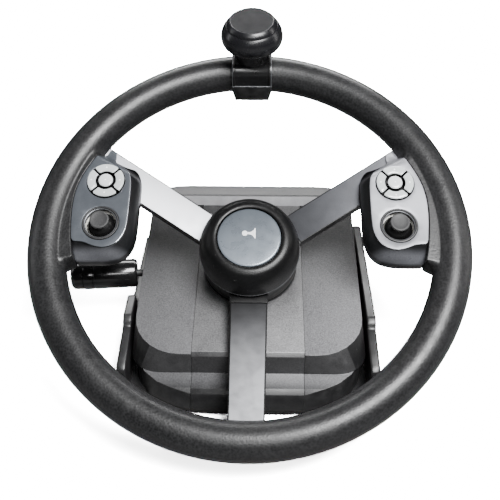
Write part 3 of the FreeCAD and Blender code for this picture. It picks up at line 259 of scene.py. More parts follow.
surface("lever_black", base=(0.006, 0.006, 0.0063), rough=0.20, grain=1300, depth=0.012,
        contrast=0.2, coat=0.3)
# the three spoke covers share one satin silver; their separate tones and ramps are painted light
# and shade
surface("satin_silver", base=(0.38, 0.385, 0.405), rough=0.36, metallic=0.6, patch=0.05,
        painted_light_ramps=[painted_light_ramp((-0.866, 0.433, 0.25), span=(40, 130), gain=(0.82, 1.18), start=HUB)])
surface("satin_silver_low", base=(0.44, 0.445, 0.465), rough=0.36, specular=0.4, metallic=0.7,
        patch=0.05, painted_light_ramps=[painted_light_ramp(WHEEL_UP, span=(-132, -40), gain=(1.1, 0.08), start=HUB)])
surface("satin_silver_shaded", base=(0.21, 0.215, 0.235), rough=0.40, contrast=0.08,
        metallic=0.5, patch=0.05,
        painted_light_ramps=[painted_light_ramp((0.866, 0.433, 0.25), span=(40, 135), gain=(0.22, 0.75), start=HUB)])
# painted shade: the left face plate as a darker blue-grey copy of the right plate's silver
surface("left_plate_painted_shade", base=(0.078, 0.086, 0.098), rough=0.38, contrast=0.08,
        metallic=0.4, wear=0.3, patch=0.06)
# painted shade: the right plate darkens towards its lower edge
surface("plate_silver", base=(0.34, 0.345, 0.37), rough=0.38, metallic=0.5, wear=0.3,
        patch=0.05, painted_light_ramps=[painted_light_ramp(WHEEL_UP, span=(-12, 30), gain=(0.45, 1.0), start=HUB)])
# painted highlight on the left plate's edge near the hub
surface("chamfer_painted_highlight", base=(0.55, 0.57, 0.62), rough=0.26, depth=0.004, metallic=0.8,
        wear=0.3)
# black for spoke edges; on key walls and face-plate walls it is painted shade
surface("dark_border", base=(0.006, 0.006, 0.0065), rough=0.38, grain=1300, depth=0.02,
        contrast=0.25, specular=0.35, wear=0.3)
# painted light: the horn disc lighter towards its lower side, darker at the top
surface("badge_blue_grey", base=(0.135, 0.155, 0.178), rough=0.30, depth=0.004, contrast=0.05,
        metallic=0.35, wear=0.0, patch=0.02, dust=(0.145, 0.165, 0.19),
        painted_light_ramps=[painted_light_ramp(WHEEL_UP, span=(-24, 24), gain=(1.25, 0.7), start=HUB)])
# painted highlight: a light line along seams of the dome and the clamp
surface("seam_painted_highlight", base=(0.15, 0.155, 0.165), rough=0.28, depth=0.004, contrast=0.10,
        metallic=0.5, wear=0.3)
surface("solder_mask_black", base=(0.004, 0.004, 0.0045), rough=0.40, grain=500, depth=0.03,
        contrast=0.5, specular=0.3)
surface("icon_white", base=(0.82, 0.83, 0.84), rough=0.45, depth=0.005, contrast=0.04, wear=0.1)
surface("key_pale", base=(0.52, 0.55, 0.55), rough=0.16, **CLEAR_KEY)
surface("key_pale_centre", base=(0.66, 0.69, 0.70), rough=0.18, **CLEAR_KEY)
surface("key_dot", base=(0.9, 0.92, 0.92), rough=0.4, depth=0.003, contrast=0.03, wear=0.0)
surface("stick_rubber", base=(0.030, 0.030, 0.031), rough=0.55, grain=1300, depth=0.04,
        contrast=0.3, specular=0.35, wear=0.3)
surface("stick_dome", base=(0.004, 0.004, 0.0042), rough=0.30, grain=1300, depth=0.01,
        contrast=0.3, specular=0.4, wear=0.1)
surface("bezel_black", base=(0.012, 0.012, 0.013), rough=0.50, grain=1300, depth=0.015,
        contrast=0.25, wear=0.3)
surface("bezel_ring", base=(0.16, 0.165, 0.175), rough=0.40, grain=1400, depth=0.006,
        contrast=0.08, metallic=0.7)
surface("turned_steel", base=(0.50, 0.50, 0.51), rough=0.30, grain=1400, depth=0.01,
        contrast=0.12, metallic=1.0, brushed=(1.0, 1.0, 14.0), wear=0.3)
surface("zinc_plate", base=(0.56, 0.56, 0.53), rough=0.34, grain=1200, depth=0.02,
        contrast=0.16, metallic=1.0, wear=0.3)
surface("sintered_bronze", base=(0.50, 0.33, 0.15), rough=0.42, grain=900, depth=0.04,
        contrast=0.25, metallic=1.0, wear=0.3)
surface("cast_alloy", base=(0.46, 0.47, 0.48), rough=0.48, grain=420, depth=0.10,
        contrast=0.18, metallic=0.9, wear=0.3)
surface("black_powder_coat", base=(0.012, 0.012, 0.0125), rough=0.44, grain=650, depth=0.05,
        contrast=0.35, wear=0.4)
surface("natural_nylon", base=(0.66, 0.65, 0.60), rough=0.46, grain=700, depth=0.03,
        contrast=0.10)
surface("solder_mask", base=(0.015, 0.12, 0.045), rough=0.30, grain=500, depth=0.03,
        contrast=0.5)
surface("mat_rubber", base=(0.020, 0.020, 0.020), rough=0.65, grain=600, depth=0.15,
        contrast=0.4, specular=0.3, brushed=(1.0, 9.0, 1.0))


# ---------------------------------------------------------------- objects
def on_wheel(points):
    """Wheel-frame mm to world metres."""
    x, y, z = np.asarray(points, float).reshape(-1, 3).T
    return np.stack([x, HUB[1] + TILT_COS * y - TILT_SIN * z,
                     HUB[2] + TILT_SIN * y + TILT_COS * z], 1) * MM


def register(name, mesh, body, node, sharp):
    """Makes the object that rides on body and stands in for a CAD node. sharp is in degrees."""
    for face in mesh.polygons:
        face.use_smooth = True
    mesh.set_sharp_from_angle(angle=math.radians(sharp))
    ob = bpy.data.objects.new(name, mesh)
    bpy.context.scene.collection.objects.link(ob)
    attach(ob, body)
    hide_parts(node)


def piece(name, shape, finishes, body, node, sharp, place=on_wheel):
    """Builds a shape: its (verts, faces, tags), where a tag picks one of the finishes."""
    verts, faces, tags = shape
    mesh = bpy.data.meshes.new(name)
    mesh.from_pydata([tuple(p) for p in place(verts)], [], [tuple(map(int, f)) for f in faces])
    for finish in finishes:
        mesh.materials.append(FINISH[finish])
    for face, tag in zip(mesh.polygons, tags):
        face.material_index = tag
    bm = bmesh.new()
    bm.from_mesh(mesh)
    bmesh.ops.remove_doubles(bm, verts=bm.verts, dist=1e-7)
    bmesh.ops.dissolve_degenerate(bm, dist=1e-8, edges=bm.edges)
    bmesh.ops.recalc_face_normals(bm, faces=bm.faces)
    bm.to_mesh(mesh)
    bm.free()
    register(name, mesh, body, node, sharp)


def dressed(node, name, finishes, cuts, body="base", sharp=30.0, paint=lambda face: 0):
    """A copy of a CAD node with rounded edges.

    cuts lists (width mm, segments, test(edge midpoint mm, edge)); paint picks a finish.
    """
    bm = bmesh.new()
    bm.from_mesh(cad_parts[node].data)
    bmesh.ops.remove_doubles(bm, verts=bm.verts, dist=3e-6)
    bmesh.ops.dissolve_limit(bm, angle_limit=math.radians(0.7), verts=bm.verts, edges=bm.edges)
    corner = math.radians(28.0)
    for width, segments, test in cuts:
        chosen = []
        for edge in bm.edges:
            if len(edge.link_faces) == 2 and edge.calc_face_angle(0.0) > corner:
                if test((edge.verts[0].co + edge.verts[1].co) * 500.0, edge):
                    chosen.append(edge)
        if chosen:
            bmesh.ops.bevel(bm, geom=chosen, offset=width * MM, offset_type="OFFSET",
                            segments=segments, profile=0.5, affect="EDGES", clamp_overlap=True)
    bmesh.ops.recalc_face_normals(bm, faces=bm.faces)
    mesh = bpy.data.meshes.new(name)
    bm.to_mesh(mesh)
    bm.free()
    if "custom_normal" in mesh.attributes:
        mesh.attributes.remove(mesh.attributes["custom_normal"])
    mesh.materials.clear()
    for finish in finishes:
        mesh.materials.append(FINISH[finish])
    for face in mesh.polygons:
        face.material_index = paint(face)
    register(name, mesh, body, node, sharp)


# ---------------------------------------------------------------- outlines
def fillet(points, radii, steps):
    """Rounds the corners of a closed outline, with one radius per point."""
    out = []
    for i, radius in enumerate(radii):
        p = np.array(points[i], float)
        if radius <= 0:
            out.append(tuple(p))
            continue
        back = np.array(points[i - 1], float) - p
        ahead = np.array(points[(i + 1) % len(points)], float) - p
        back_length, ahead_length = np.linalg.norm(back), np.linalg.norm(ahead)
        back, ahead = back / back_length, ahead / ahead_length
        half = math.acos(max(-1.0, min(1.0, float(back @ ahead)))) / 2
        cut = min(radius / math.tan(half), 0.48 * back_length, 0.48 * ahead_length)
        fitted = cut * math.tan(half)
        middle = back + ahead
        centre = p + middle / np.linalg.norm(middle) * (fitted / math.sin(half))
        start, end = p + back * cut - centre, p + ahead * cut - centre
        sweep = math.pi - 2 * half
        if start[0] * end[1] - start[1] * end[0] <= 0:
            sweep = -sweep
        for k in range(steps + 1):
            t = sweep * k / steps
            out.append((centre[0] + start[0] * math.cos(t) - start[1] * math.sin(t),
                        centre[1] + start[0] * math.sin(t) + start[1] * math.cos(t)))
    return out


def spline(a, b, c, d, per):
    """Catmull-Rom points from b up to, but not including, c."""
    return [0.5 * ((2 * b) + (-a + c) * t + (2 * a - 5 * b + 4 * c - d) * t * t
                   + (-a + 3 * b - 3 * c + d) * t ** 3) for t in (k / per for k in range(per))]


def smooth_loop(points, per=8):
    p = np.array(points, float)
    n = len(p)
    out = []
    for i in range(n):
        out += spline(p[i - 1], p[i], p[(i + 1) % n], p[(i + 2) % n], per)
    return np.array(out)


def smooth_open(points, per):
    p = np.array(points, float)
    p = np.vstack([2 * p[0] - p[1], p, 2 * p[-1] - p[-2]])
    out = []
    for i in range(1, len(p) - 2):
        out += spline(p[i - 1], p[i], p[i + 1], p[i + 2], per)
    out.append(p[-2])
    return [tuple(q) for q in out]


def anticlockwise(loop):
    q = np.asarray(loop, float)
    x, y = q[:, 0], q[:, 1]
    doubled_area = float(np.sum(x * np.roll(y, -1) - y * np.roll(x, -1)))
    return q[::-1] if doubled_area < 0 else q


def grow(loop, amount):
    """Moves a closed loop outwards by amount along its own normals."""
    q = anticlockwise(loop)
    d = np.roll(q, -1, 0) - np.roll(q, 1, 0)
    d /= np.maximum(np.linalg.norm(d, axis=1), 1e-9)[:, None]
    return q + np.stack([d[:, 1], -d[:, 0]], 1) * amount


def circle(centre, r, n=64):
    return [(centre[0] + r * math.cos(2 * math.pi * k / n),
             centre[1] + r * math.sin(2 * math.pi * k / n)) for k in range(n)]


# ---------------------------------------------------------------- shapes
def merge(*shapes):
    verts, faces, tags = [], [], []
    for more_verts, more_faces, more_tags in shapes:
        start = len(verts)
        verts.extend([tuple(p) for p in more_verts])
        faces.extend([tuple(i + start for i in f) for f in more_faces])
        tags.extend(more_tags)
    return verts, faces, tags


def turn(profile, centre=(0.0, 0.0), seg=96, tag=0):
    """Revolves (radius, height) points about a line along z through centre."""
    verts, faces, rows = [], [], []
    for r, z in profile:
        start = len(verts)
        if r < 1e-6:
            verts.append((centre[0], centre[1], z))
        else:
            verts.extend([(x, y, z) for x, y in circle(centre, r, seg)])
        rows.append(list(range(start, len(verts))))
    for a, b in zip(rows, rows[1:]):
        for k in range(seg):
            j = (k + 1) % seg
            if len(a) == 1:
                faces.append((a[0], b[k], b[j]))
            elif len(b) == 1:
                faces.append((a[k], a[j], b[0]))
            else:
                faces.append((a[k], a[j], b[j], b[k]))
    return verts, faces, [tag] * len(faces)


def closed_turn(profile, centre=(0.0, 0.0), seg=96, tag=0):
    return turn(profile + [profile[0]], centre, seg, tag)


def loft(loops, wrap=False, tag=0):
    """Skins equal-length 3-D loops, with end caps unless the last joins the first."""
    n, count = len(loops[0]), len(loops)
    verts = [tuple(p) for loop in loops for p in loop]
    faces = []
    for i in range(count if wrap else count - 1):
        a, b = i * n, ((i + 1) % count) * n
        for k in range(n):
            j = (k + 1) % n
            faces.append((a + k, a + j, b + j, b + k))
    if not wrap:
        faces.append(tuple(range(n)))
        faces.append(tuple(range((count - 1) * n, count * n)))
    return verts, faces, [tag] * len(faces)


def inside(x, y, loop):
    hit, n = False, len(loop)
    for i in range(n):
        x1, y1 = loop[i]
        x2, y2 = loop[(i + 1) % n]
        if (y1 > y) != (y2 > y) and x < (x2 - x1) * (y - y1) / (y2 - y1) + x1:
            hit = not hit
    return hit


def fill(loops, spacing):
    """Triangulates the first loop less the others, over a grid of inner points if spacing."""
    loops = [np.asarray(loop, float) for loop in loops]
    outer, holes = loops[0], loops[1:]
    pts, edges = [], []
    for loop in loops:
        k, n = len(pts), len(loop)
        pts.extend([Vector((float(x), float(y))) for x, y in loop])
        edges.extend([(k + i, k + (i + 1) % n) for i in range(n)])
    border = len(pts)

    def in_hole(x, y):
        return any(inside(x, y, hole) for hole in holes)

    if spacing:
        low, high = outer.min(0), outer.max(0)
        rim = np.vstack(loops)
        for x in np.arange(low[0] + spacing / 2, high[0], spacing):
            for y in np.arange(low[1] + spacing / 2, high[1], spacing):
                clear = np.min(np.hypot(rim[:, 0] - x, rim[:, 1] - y)) > spacing * 0.45
                if clear and inside(x, y, outer) and not in_hole(x, y):
                    pts.append(Vector((float(x), float(y))))
    found, _, triangles, origins, _, _ = delaunay_2d_cdt(pts, edges, [], 1, 1e-6)
    near = np.array([(q[0], q[1]) for q in pts])
    # a point the triangulation added itself is replaced by the nearest given one
    first = [min(o) if o else int(np.argmin(np.hypot(near[:, 0] - q[0], near[:, 1] - q[1])))
             for q, o in zip(found, origins)]
    out = []
    for t in triangles:
        if in_hole(sum(found[i][0] for i in t) / 3, sum(found[i][1] for i in t) / 3):
            continue
        corners = tuple(first[i] for i in t)
        if len(set(corners)) == len(corners):
            out.append(corners)
    return pts[border:], out


def sheet(outer, low, high, holes=(), edge=0.6, steps=4, spacing=None,
          lift=lambda x, y: 0.0, edge_tag=0, wall_tag=0, low_edge=0.15):
    """A flat piece with holes, a rounded upper edge and a height change lift(x, y)."""
    levels = [(low_edge, low), (0.0, low + low_edge), (0.0, high - edge)]   # (inset, height)
    for k in range(1, steps + 1):
        a = math.pi / 2 * k / steps
        levels.append((edge * (1 - math.cos(a)), high - edge + edge * math.sin(a)))
    verts, faces, tags = [], [], []
    tops, bottoms = [], []
    for number, loop in enumerate([outer, *holes]):
        loop = anticlockwise(loop)
        sign = -1.0 if number == 0 else 1.0
        n, start = len(loop), len(verts)
        for inset, z in levels:
            verts.extend([(x, y, z + lift(x, y)) for x, y in grow(loop, sign * inset)])
        for row in range(len(levels) - 1):
            a = start + row * n
            for i in range(n):
                j = (i + 1) % n
                faces.append((a + i, a + j, a + n + j, a + n + i))
                tags.append(wall_tag if row < 2 else edge_tag)
        bottoms.append(range(start, start + n))
        tops.append(range(len(verts) - n, len(verts)))
    for group, z, space, tag in ((tops, high, spacing, 0), (bottoms, low, None, wall_tag)):
        inner, triangles = fill([[verts[i][:2] for i in loop] for loop in group], space)
        index = [i for loop in group for i in loop]
        for x, y in inner:
            index.append(len(verts))
            verts.append((x, y, z + lift(x, y)))
        for t in triangles:
            faces.append(tuple(index[i] for i in t))
            tags.append(tag)
    return verts, faces, tags


# ---------------------------------------------------------------- control pods
# Line where the right pod meets the rim: (angle in degrees, radius)
SEAM = [
    (-14.0, 139.0), (-9.5, 138.2), (-3.5, 139.3), (1.2, 140.4), (6.0, 142.0), (9.5, 143.2),
    (14.0, 144.6), (17.5, 145.0), (21.0, 144.8), (25.0, 144.2), (28.0, 143.8), (31.0, 143.6),
    (33.0, 143.8), (35.5, 144.4), (38.0, 145.0),
]


def seam_radius(deg):
    return float(np.interp(deg, [a for a, r in SEAM], [r for a, r in SEAM]))


def seam_arc(first, last, back):
    """Points on the seam, moved inwards by back."""
    out = []
    for a in np.linspace(first, last, 11):
        r = seam_radius(a) - back
        out.append((r * math.cos(math.radians(a)), r * math.sin(math.radians(a))))
    return out


# Outlines of the right pod's face plate and of its back, (x, y); the left pod is mirrored
PLATE = [
    (113.4, 80.6), (112.6, 75.6), (113.0, 71.2), (109.5, 67.3), (105.0, 62.4), (100.4, 57.2),
    (97.4, 51.2), (96.2, 45), (95.9, 35), (96.0, 24), (96.3, 11), (97.7, 0.5), (102.0, -7.8),
    (108.4, -12.1), (115.2, -13.4), (122.4, -11.9), (128.6, -9.4), (133.6, -8.6), (136.9, -8.3),
] + seam_arc(-2.3, 34.8, 0.4)
BACK = [
    (112.8, 80.8), (111.6, 76.8), (111.0, 73.6), (106.9, 71.2), (101.5, 68.6), (95.6, 64.8),
    (91.9, 58.6), (90.4, 50.5), (90.2, 40), (90.5, 26), (90.7, 11), (91.9, -1.5), (95.8, -10.8),
    (102.6, -17.0), (112.0, -19.8), (121.0, -20.3), (128.5, -20.4), (134.0, -20.3),
    (136.9, -19.6),
] + seam_arc(-6.6, 34.8, -0.4)
# Levels of the pod shell: (outline growth, z, share of the corner's fall)
PLATE_LEVELS = [
    (-9.0, -10.5, 0.2), (-3.6, -10.5, 0.2), (-2.8, -9.5, 0.2), (-2.6, 7.6, 1.0),
    (-2.3, 8.3, 1.0), (-0.9, 8.38, 1.0), (-0.25, 8.1, 1.0), (0.0, 7.7, 1.0),
]
BACK_LEVELS = [
    (0.0, -3.0, 0.45), (0.0, -8.0, 0.25), (0.0, -11.0, 0.1), (-0.4, -12.6, 0.0),
    (-1.3, -13.6, 0.0), (-2.6, -14.0, 0.0), (-9.0, -14.0, 0.0),
]
KEY_PAD = (116.2, 44.9)    # centre of the right pod's keys
STICK = (117.2, 7.3)       # centre of its thumb stick


def ease(t):
    return t * t * (3 - 2 * t)


def sink(x, y):
    """How far the pod's upper corner falls away, measured across the spoke."""
    across = -0.5 * abs(x) + 0.8660254 * y
    return -13.2 * ease(min(1.0, max(0.0, (across + 4.5) / 11.0)))


def pod_shell(side, sign):
    top = grow(smooth_loop(PLATE), 0.45)
    low = smooth_loop(BACK)
    levels = [(top, *row) for row in PLATE_LEVELS]
    top_z, low_z, low_fall = PLATE_LEVELS[-1][1], BACK_LEVELS[0][1], BACK_LEVELS[0][2]
    for k in range(1, 9):    # the bulging flank between the two outlines
        t = k / 9.0
        levels.append((top * (1 - t) + low * t, math.sin(math.pi * t) * 0.8,
                       top_z + (low_z - top_z) * t, 1.0 + (low_fall - 1.0) * t))
    levels += [(low, *row) for row in BACK_LEVELS]
    shape = loft([[(sign * x, y, z + fall * sink(x, y)) for x, y in grow(loop, growth)]
                  for loop, growth, z, fall in levels])
    piece("pod_shell_" + side, shape, ["pod_black"], "wheel", "pod_body_" + side,
          sharp=40)


def pod_face(side, sign):
    """The face plate; the left one has a painted highlight on its edge near the hub and a darker
    plate as painted shade.
    """
    holes = [circle(KEY_PAD, 15.5), circle(STICK, 14.75)]
    # the plate's walls take the dark border, as painted shade
    verts, faces, tags = sheet(smooth_loop(PLATE), 8.45, 10.1, holes, edge=0.5, spacing=3.2,
                               lift=sink, edge_tag=1, wall_tag=2)
    for i, face in enumerate(faces):
        if tags[i] == 1:
            x, y, z = np.mean([verts[k] for k in face], axis=0)
            off_stick = math.hypot(x - STICK[0], y - STICK[1]) > 15.6
            # painted highlight on the left plate's edge near the hub, away from the stick
            painted_glint = side == "left" and x < 104.0 and -11.0 < y < 57.0 and off_stick
            tags[i] = 1 if painted_glint else 0
    # the left plate takes the darker copy, as painted shade
    plate = {"left": "left_plate_painted_shade", "right": "plate_silver"}[side]
    piece("pod_face_" + side, ([(sign * x, y, z) for x, y, z in verts], faces, tags),
          [plate, "chamfer_painted_highlight", "dark_border"], "wheel", "pod_plate_" + side,
          sharp=50)


def stick_and_bezel(side, centre):
    bezel = [(14.6, -0.5), (14.6, 10.2), (14.35, 10.75), (13.8, 10.95), (13.35, 10.8),
             (13.0, 10.3), (12.9, 9.9), (12.9, 8.2), (13.6, 7.4), (13.6, -0.5)]
    ring = [(12.88, 8.3), (12.88, 9.9), (12.7, 10.1), (12.35, 9.95), (12.2, 9.5), (12.2, 8.3)]
    piece("stick_bezel_" + side, merge(closed_turn(bezel, centre),
                                       closed_turn(ring, centre, tag=1)),
          ["bezel_black", "bezel_ring"], "wheel", "stick_housing_" + side, sharp=40)

    ball_r, ball_z = 11.5, 2.0
    ball = [(ball_r * math.sin(a), ball_z + ball_r * math.cos(a))
            for a in np.linspace(math.radians(17), math.radians(105), 22)]
    dome = [(3.3, 13.2)] + ball + [(0.0, -0.9)]
    cap = [(0.0, 12.4), (3.4, 12.4), (3.4, 13.5), (6.9, 13.9), (7.45, 14.2), (7.65, 14.8),
           (7.65, 15.7), (7.4, 16.35), (6.8, 16.65), (6.2, 16.6), (5.7, 16.35), (3.0, 16.2),
           (0.0, 16.15)]
    piece("thumb_stick_" + side, merge(turn(dome, centre, 80, tag=1), turn(cap, centre, 80)),
          ["stick_rubber", "stick_dome"], "stick_%s_body" % side, "stick_" + side,
          sharp=38)


KEY_OUT, KEY_IN, KEY_GAP = 14.85, 8.2, 0.85     # radii of a key, half gap between keys
OUT_CORNER, IN_CORNER = 1.25, 1.0               # corner radii
DOT_RING = 11.5                                 # radius of the dots' and crown's ring


def key_outline():
    """A quarter-ring key that points to +x, about the pad's centre."""
    out_r, in_r = KEY_OUT - OUT_CORNER, KEY_IN + IN_CORNER
    out_a = 45 - math.degrees(math.asin((KEY_GAP + OUT_CORNER) / out_r))
    in_a = 45 - math.degrees(math.asin((KEY_GAP + IN_CORNER) / in_r))

    def arc(centre_r, centre_a, r, first, last, n):
        x0 = centre_r * math.cos(math.radians(centre_a))
        y0 = centre_r * math.sin(math.radians(centre_a))
        return [(x0 + r * math.cos(math.radians(q)), y0 + r * math.sin(math.radians(q)))
                for q in np.linspace(first, last, n)]

    return (arc(0, 0, KEY_OUT, -out_a, out_a, 20)[:-1]
            + arc(out_r, out_a, OUT_CORNER, out_a, 135, 8)
            + arc(in_r, in_a, IN_CORNER, 135, 180 + in_a, 7)[:-1]
            + arc(0, 0, KEY_IN, in_a, -in_a, 12)[:-1]
            + arc(in_r, -in_a, IN_CORNER, 180 - in_a, 225, 7)
            + arc(out_r, -out_a, OUT_CORNER, 225, 360 - out_a, 8)[:-1])


def keys(side, centre):
    px, py = centre

    def crown(x, y):
        return -0.033 * (math.hypot(x - px, y - py) - DOT_RING) ** 2

    dot = [(0.0, 12.0), (0.72, 12.0), (0.72, 12.5), (0.55, 12.53), (0.0, 12.53)]
    for angle, way in ((0, "right"), (90, "up"), (180, "left"), (270, "down")):
        c, s = math.cos(math.radians(angle)), math.sin(math.radians(angle))
        outline = [(px + x * c - y * s, py + x * s + y * c) for x, y in key_outline()]
        # the key's walls take the dark border, as painted shade in the gaps between keys
        key = sheet(outline, 5.3, 12.45, edge=0.75, spacing=1.6, lift=crown, wall_tag=2)
        mark = turn(dot, (px + DOT_RING * c, py + DOT_RING * s), 20, tag=1)
        piece("key_%s_%s" % (side, way), merge(key, mark),
              ["key_pale", "key_dot", "dark_border"], "%s_%s_body" % (side, way),
              "%s_button_%s" % (side, way), sharp=50)

    button = [(0.0, 5.3), (5.6, 5.3), (5.78, 5.5), (5.78, 11.5), (5.55, 12.2), (5.0, 12.5),
              (3.4, 12.68), (0.0, 12.74)]
    verts, faces, _ = turn(button, centre, 64)
    # painted shade: the centre key's side is dark below its top
    tags = [2 if max(verts[i][2] for i in f) < 11.6 else 0 for f in faces]
    dot = [(0.0, 12.5), (0.7, 12.5), (0.7, 12.76), (0.5, 12.8), (0.0, 12.8)]
    piece("key_%s_centre" % side, merge((verts, faces, tags), turn(dot, centre, 20, tag=1)),
          ["key_pale_centre", "key_dot", "dark_border"], "%s_centre_body" % side,
          "%s_button_centre" % side, sharp=50)


for sign, side in ((1, "right"), (-1, "left")):
    pod_shell(side, sign)
    pod_face(side, sign)
    stick_and_bezel(side, (sign * STICK[0], STICK[1]))
    keys(side, (sign * KEY_PAD[0], KEY_PAD[1]))


# ---------------------------------------------------------------- rim skin
RIM_R, TUBE_R = 160, 15
# Tube angles of the inner half, in degrees; the flares move only the middle group
BEFORE_FLARE = np.linspace(94, 137, 10)
FLARE_ANGLES = [143, 149, 155, 161, 167, 173, 184, 195, 203, 209, 215, 222, 229]
AFTER_FLARE = np.linspace(236, 266, 7)


def tube_point(deg):
    a = math.radians(deg)
    return RIM_R + TUBE_R * math.cos(a), TUBE_R * math.sin(a)


def rim_section(deg):
    """(radius, z) outline of the rim at an angle, flared where it reaches to a pod."""
    deg = deg if deg <= 90 else 180 - deg
    start, end = min(1.0, max(0.0, (deg + 11.2) / 2.6)), min(1.0, max(0.0, (36.6 - deg) / 3.4))
    w = ease(min(start, end))
    s = seam_radius(deg)
    fall = sink(s * math.cos(math.radians(deg)), s * math.sin(math.radians(deg)))
    lip, reach = 9.9 + fall, 149.0 - s
    flare = [
        (149.0 - reach * 0.12, 10.05 + fall * 0.08), (149.0 - reach * 0.34, 9.95 + fall * 0.30),
        (149.0 - reach * 0.58, 9.9 + fall * 0.62), (s + 0.9, 9.85 + fall * 0.9),
        (s + 0.4, lip - 0.05), (s + 0.1, lip - 0.3), (s, lip - 0.8), (s, -3.0 + fall * 0.3),
        (s, -11.0), (s + 0.3, -12.2), (s + 1.2, -12.9), (s + 3.0, -13.1), (s + 7.0, -13.1),
    ]
    ring = [tube_point(-90 + 180 * k / 32) for k in range(33)]
    ring += [tube_point(a) for a in BEFORE_FLARE]
    for a, (flare_r, flare_z) in zip(FLARE_ANGLES, flare):
        r, z = tube_point(a)
        ring.append((r * (1 - w) + flare_r * w, z * (1 - w) + flare_z * w))
    return ring + [tube_point(a) for a in AFTER_FLARE]


angles = list(np.arange(-90, 270, 1.0))
for first, last in ((-12, -8), (32, 38)):    # closer stations at the ends of the flares
    close = np.arange(first, last, 0.25)
    angles += [*close, *(180 - close)]
loops = []
for deg in sorted({round(a, 3) for a in angles}):
    a = math.radians(deg)
    loops.append([(r * math.cos(a), r * math.sin(a), z) for r, z in rim_section(deg)])
piece("rim_skin", loft(loops, wrap=True), ["rim_rubber"], "wheel", "rim_grip",
      sharp=60)

# ---------------------------------------------------------------- spokes
SPOKE_IN, SPOKE_OUT, SPOKE_STATIONS = 41.5, 144.5, 25
SPOKE_THICK = 1.85
# Rounded edge of a spoke: (inset from the side, z below the face)
SPOKE_EDGE = [(0.5, -SPOKE_THICK), (0.0, -1.3), (0.0, -0.75), (0.32, -0.24), (0.9, -0.02),
              (1.15, 0.0)]


def arm_z(r):
    """Height of the underside of a spoke cover at radius r."""
    return -27.8 + (r - 43.0) / 96.0 * 22.0


def spoke(side, angle, face, widening=0.0):
    """A satin face with dark edges, wider by widening on each side at the hub."""
    a = math.radians(angle)
    along = np.array([math.cos(a), math.sin(a)])
    across = np.array([-math.sin(a), math.cos(a)])
    length = SPOKE_OUT - SPOKE_IN
    sections = []
    for i in range(SPOKE_STATIONS):
        r = SPOKE_IN + length * i / (SPOKE_STATIONS - 1)
        half = 13.6 + widening * (1 - (r - SPOKE_IN) / length)
        ring = [(inset - half, z) for inset, z in SPOKE_EDGE] + [(0.0, 0.0)]
        ring += [(half - inset, z) for inset, z in reversed(SPOKE_EDGE)]
        top = arm_z(r) + SPOKE_THICK
        sections.append([(*(along * r + across * s), top + z) for s, z in ring])
    verts, faces, _ = loft(sections)
    n = len(sections[0])
    tags = []
    for f in faces:
        columns = {i % n for i in f}
        tags.append(0 if columns in ({5, 6}, {6, 7}) else 1)
    piece("spoke_face_" + side, (verts, faces, tags), [face, "dark_border"], "wheel",
          "spoke_cover_" + side, sharp=60)


# each spoke cover gets its own silver tone, as painted light and shade
spoke("lower", 270.0, "satin_silver_low", widening=1.5)
spoke("right", 30.0, "satin_silver_shaded")
spoke("left", 150.0, "satin_silver")

# ---------------------------------------------------------------- hub; profiles are (radius, z)
dome = smooth_open([(26.35, 2.35), (27.6, 2.75), (29.6, 2.65), (32.4, 1.6), (35.2, -0.9),
                    (37.6, -4.6), (39.4, -9.6), (40.4, -15.0), (40.75, -19.6)], 7)
dome = [(26.0, -3.4), (26.0, 1.7), (26.1, 2.1)] + dome + [
    (40.85, -21.4), (40.7, -21.85), (40.2, -22.0), (38.4, -22.0), (37.0, -10.0), (33.6, -6.2),
    (8.6, -6.2), (8.6, -3.4)]
# painted highlight: a light line round the dome's lower edge
dome_highlight_line = [(40.0, -20.9), (40.82, -20.95), (41.02, -21.15), (41.02, -21.5), (40.82, -21.75),
             (40.0, -21.8)]
piece("hub_dome", merge(closed_turn(dome, seg=160), closed_turn(dome_highlight_line, seg=160, tag=1)),
      ["dome_black", "seam_painted_highlight"], "wheel", "hub_shell", sharp=40)

# sleeve, with a cover where the lower spoke meets it
sleeve = [(40.35, -22.25), (40.5, -22.7), (40.3, -23.6), (40.1, -30.0), (39.7, -41.6),
          (39.4, -42.3), (38.8, -42.5), (36.6, -42.5), (36.6, -22.4), (39.9, -22.1)]
half = 15.6
outline = fillet([(37.5, -half), (45.6, -half), (45.6, half), (37.5, half)],
                 [0.0, 1.6, 1.6, 0.0], 5)
verts, faces, tags = sheet(outline, 0.0, 2.3, edge=0.55, steps=3)
a = math.radians(270.0)
verts = [(math.cos(a) * x - math.sin(a) * y, math.sin(a) * x + math.cos(a) * y,
          arm_z(x) + 1.2 + z) for x, y, z in verts]
piece("hub_sleeve", merge(closed_turn(sleeve, seg=160), (verts, faces, tags)),
      ["collar_black", "seam_painted_highlight"], "wheel", "hub_skirt", sharp=38)

# horn button: a disc with a raised sign of a flared bell and a bulb
disc = [(0.0, 2.18), (10.0, 2.15), (18.0, 2.06), (23.6, 1.92), (24.7, 1.78), (25.1, 1.4),
        (25.15, 0.9), (25.15, -0.5), (24.9, -0.6), (8.0, -0.6), (8.0, -7.9), (0.0, -7.9)]
flank = [(-1.4, 0.85), (0.6, 1.05), (2.2, 1.7), (3.6, 3.2), (4.4, 4.5)]
bell = smooth_open(flank, 4) + [(5.0, 4.5), (5.0, -4.5), (4.4, -4.5)]
bell += smooth_open([(x, -y) for x, y in reversed(flank)], 4)[1:]
bulb = circle((-3.6, 0.0), 2.25, 30)
ICON_UP = 3.2
shapes = [turn(disc, seg=128)]
for outline in (bell, bulb):
    verts, faces, tags = sheet([(x, y + ICON_UP) for x, y in outline], 2.0, 2.26, edge=0.08,
                               steps=2, low_edge=0.02)
    shapes.append((verts, faces, [1] * len(tags)))
piece("horn_pad", merge(*shapes), ["badge_blue_grey", "icon_white"], "horn", "horn_button",
      sharp=40)

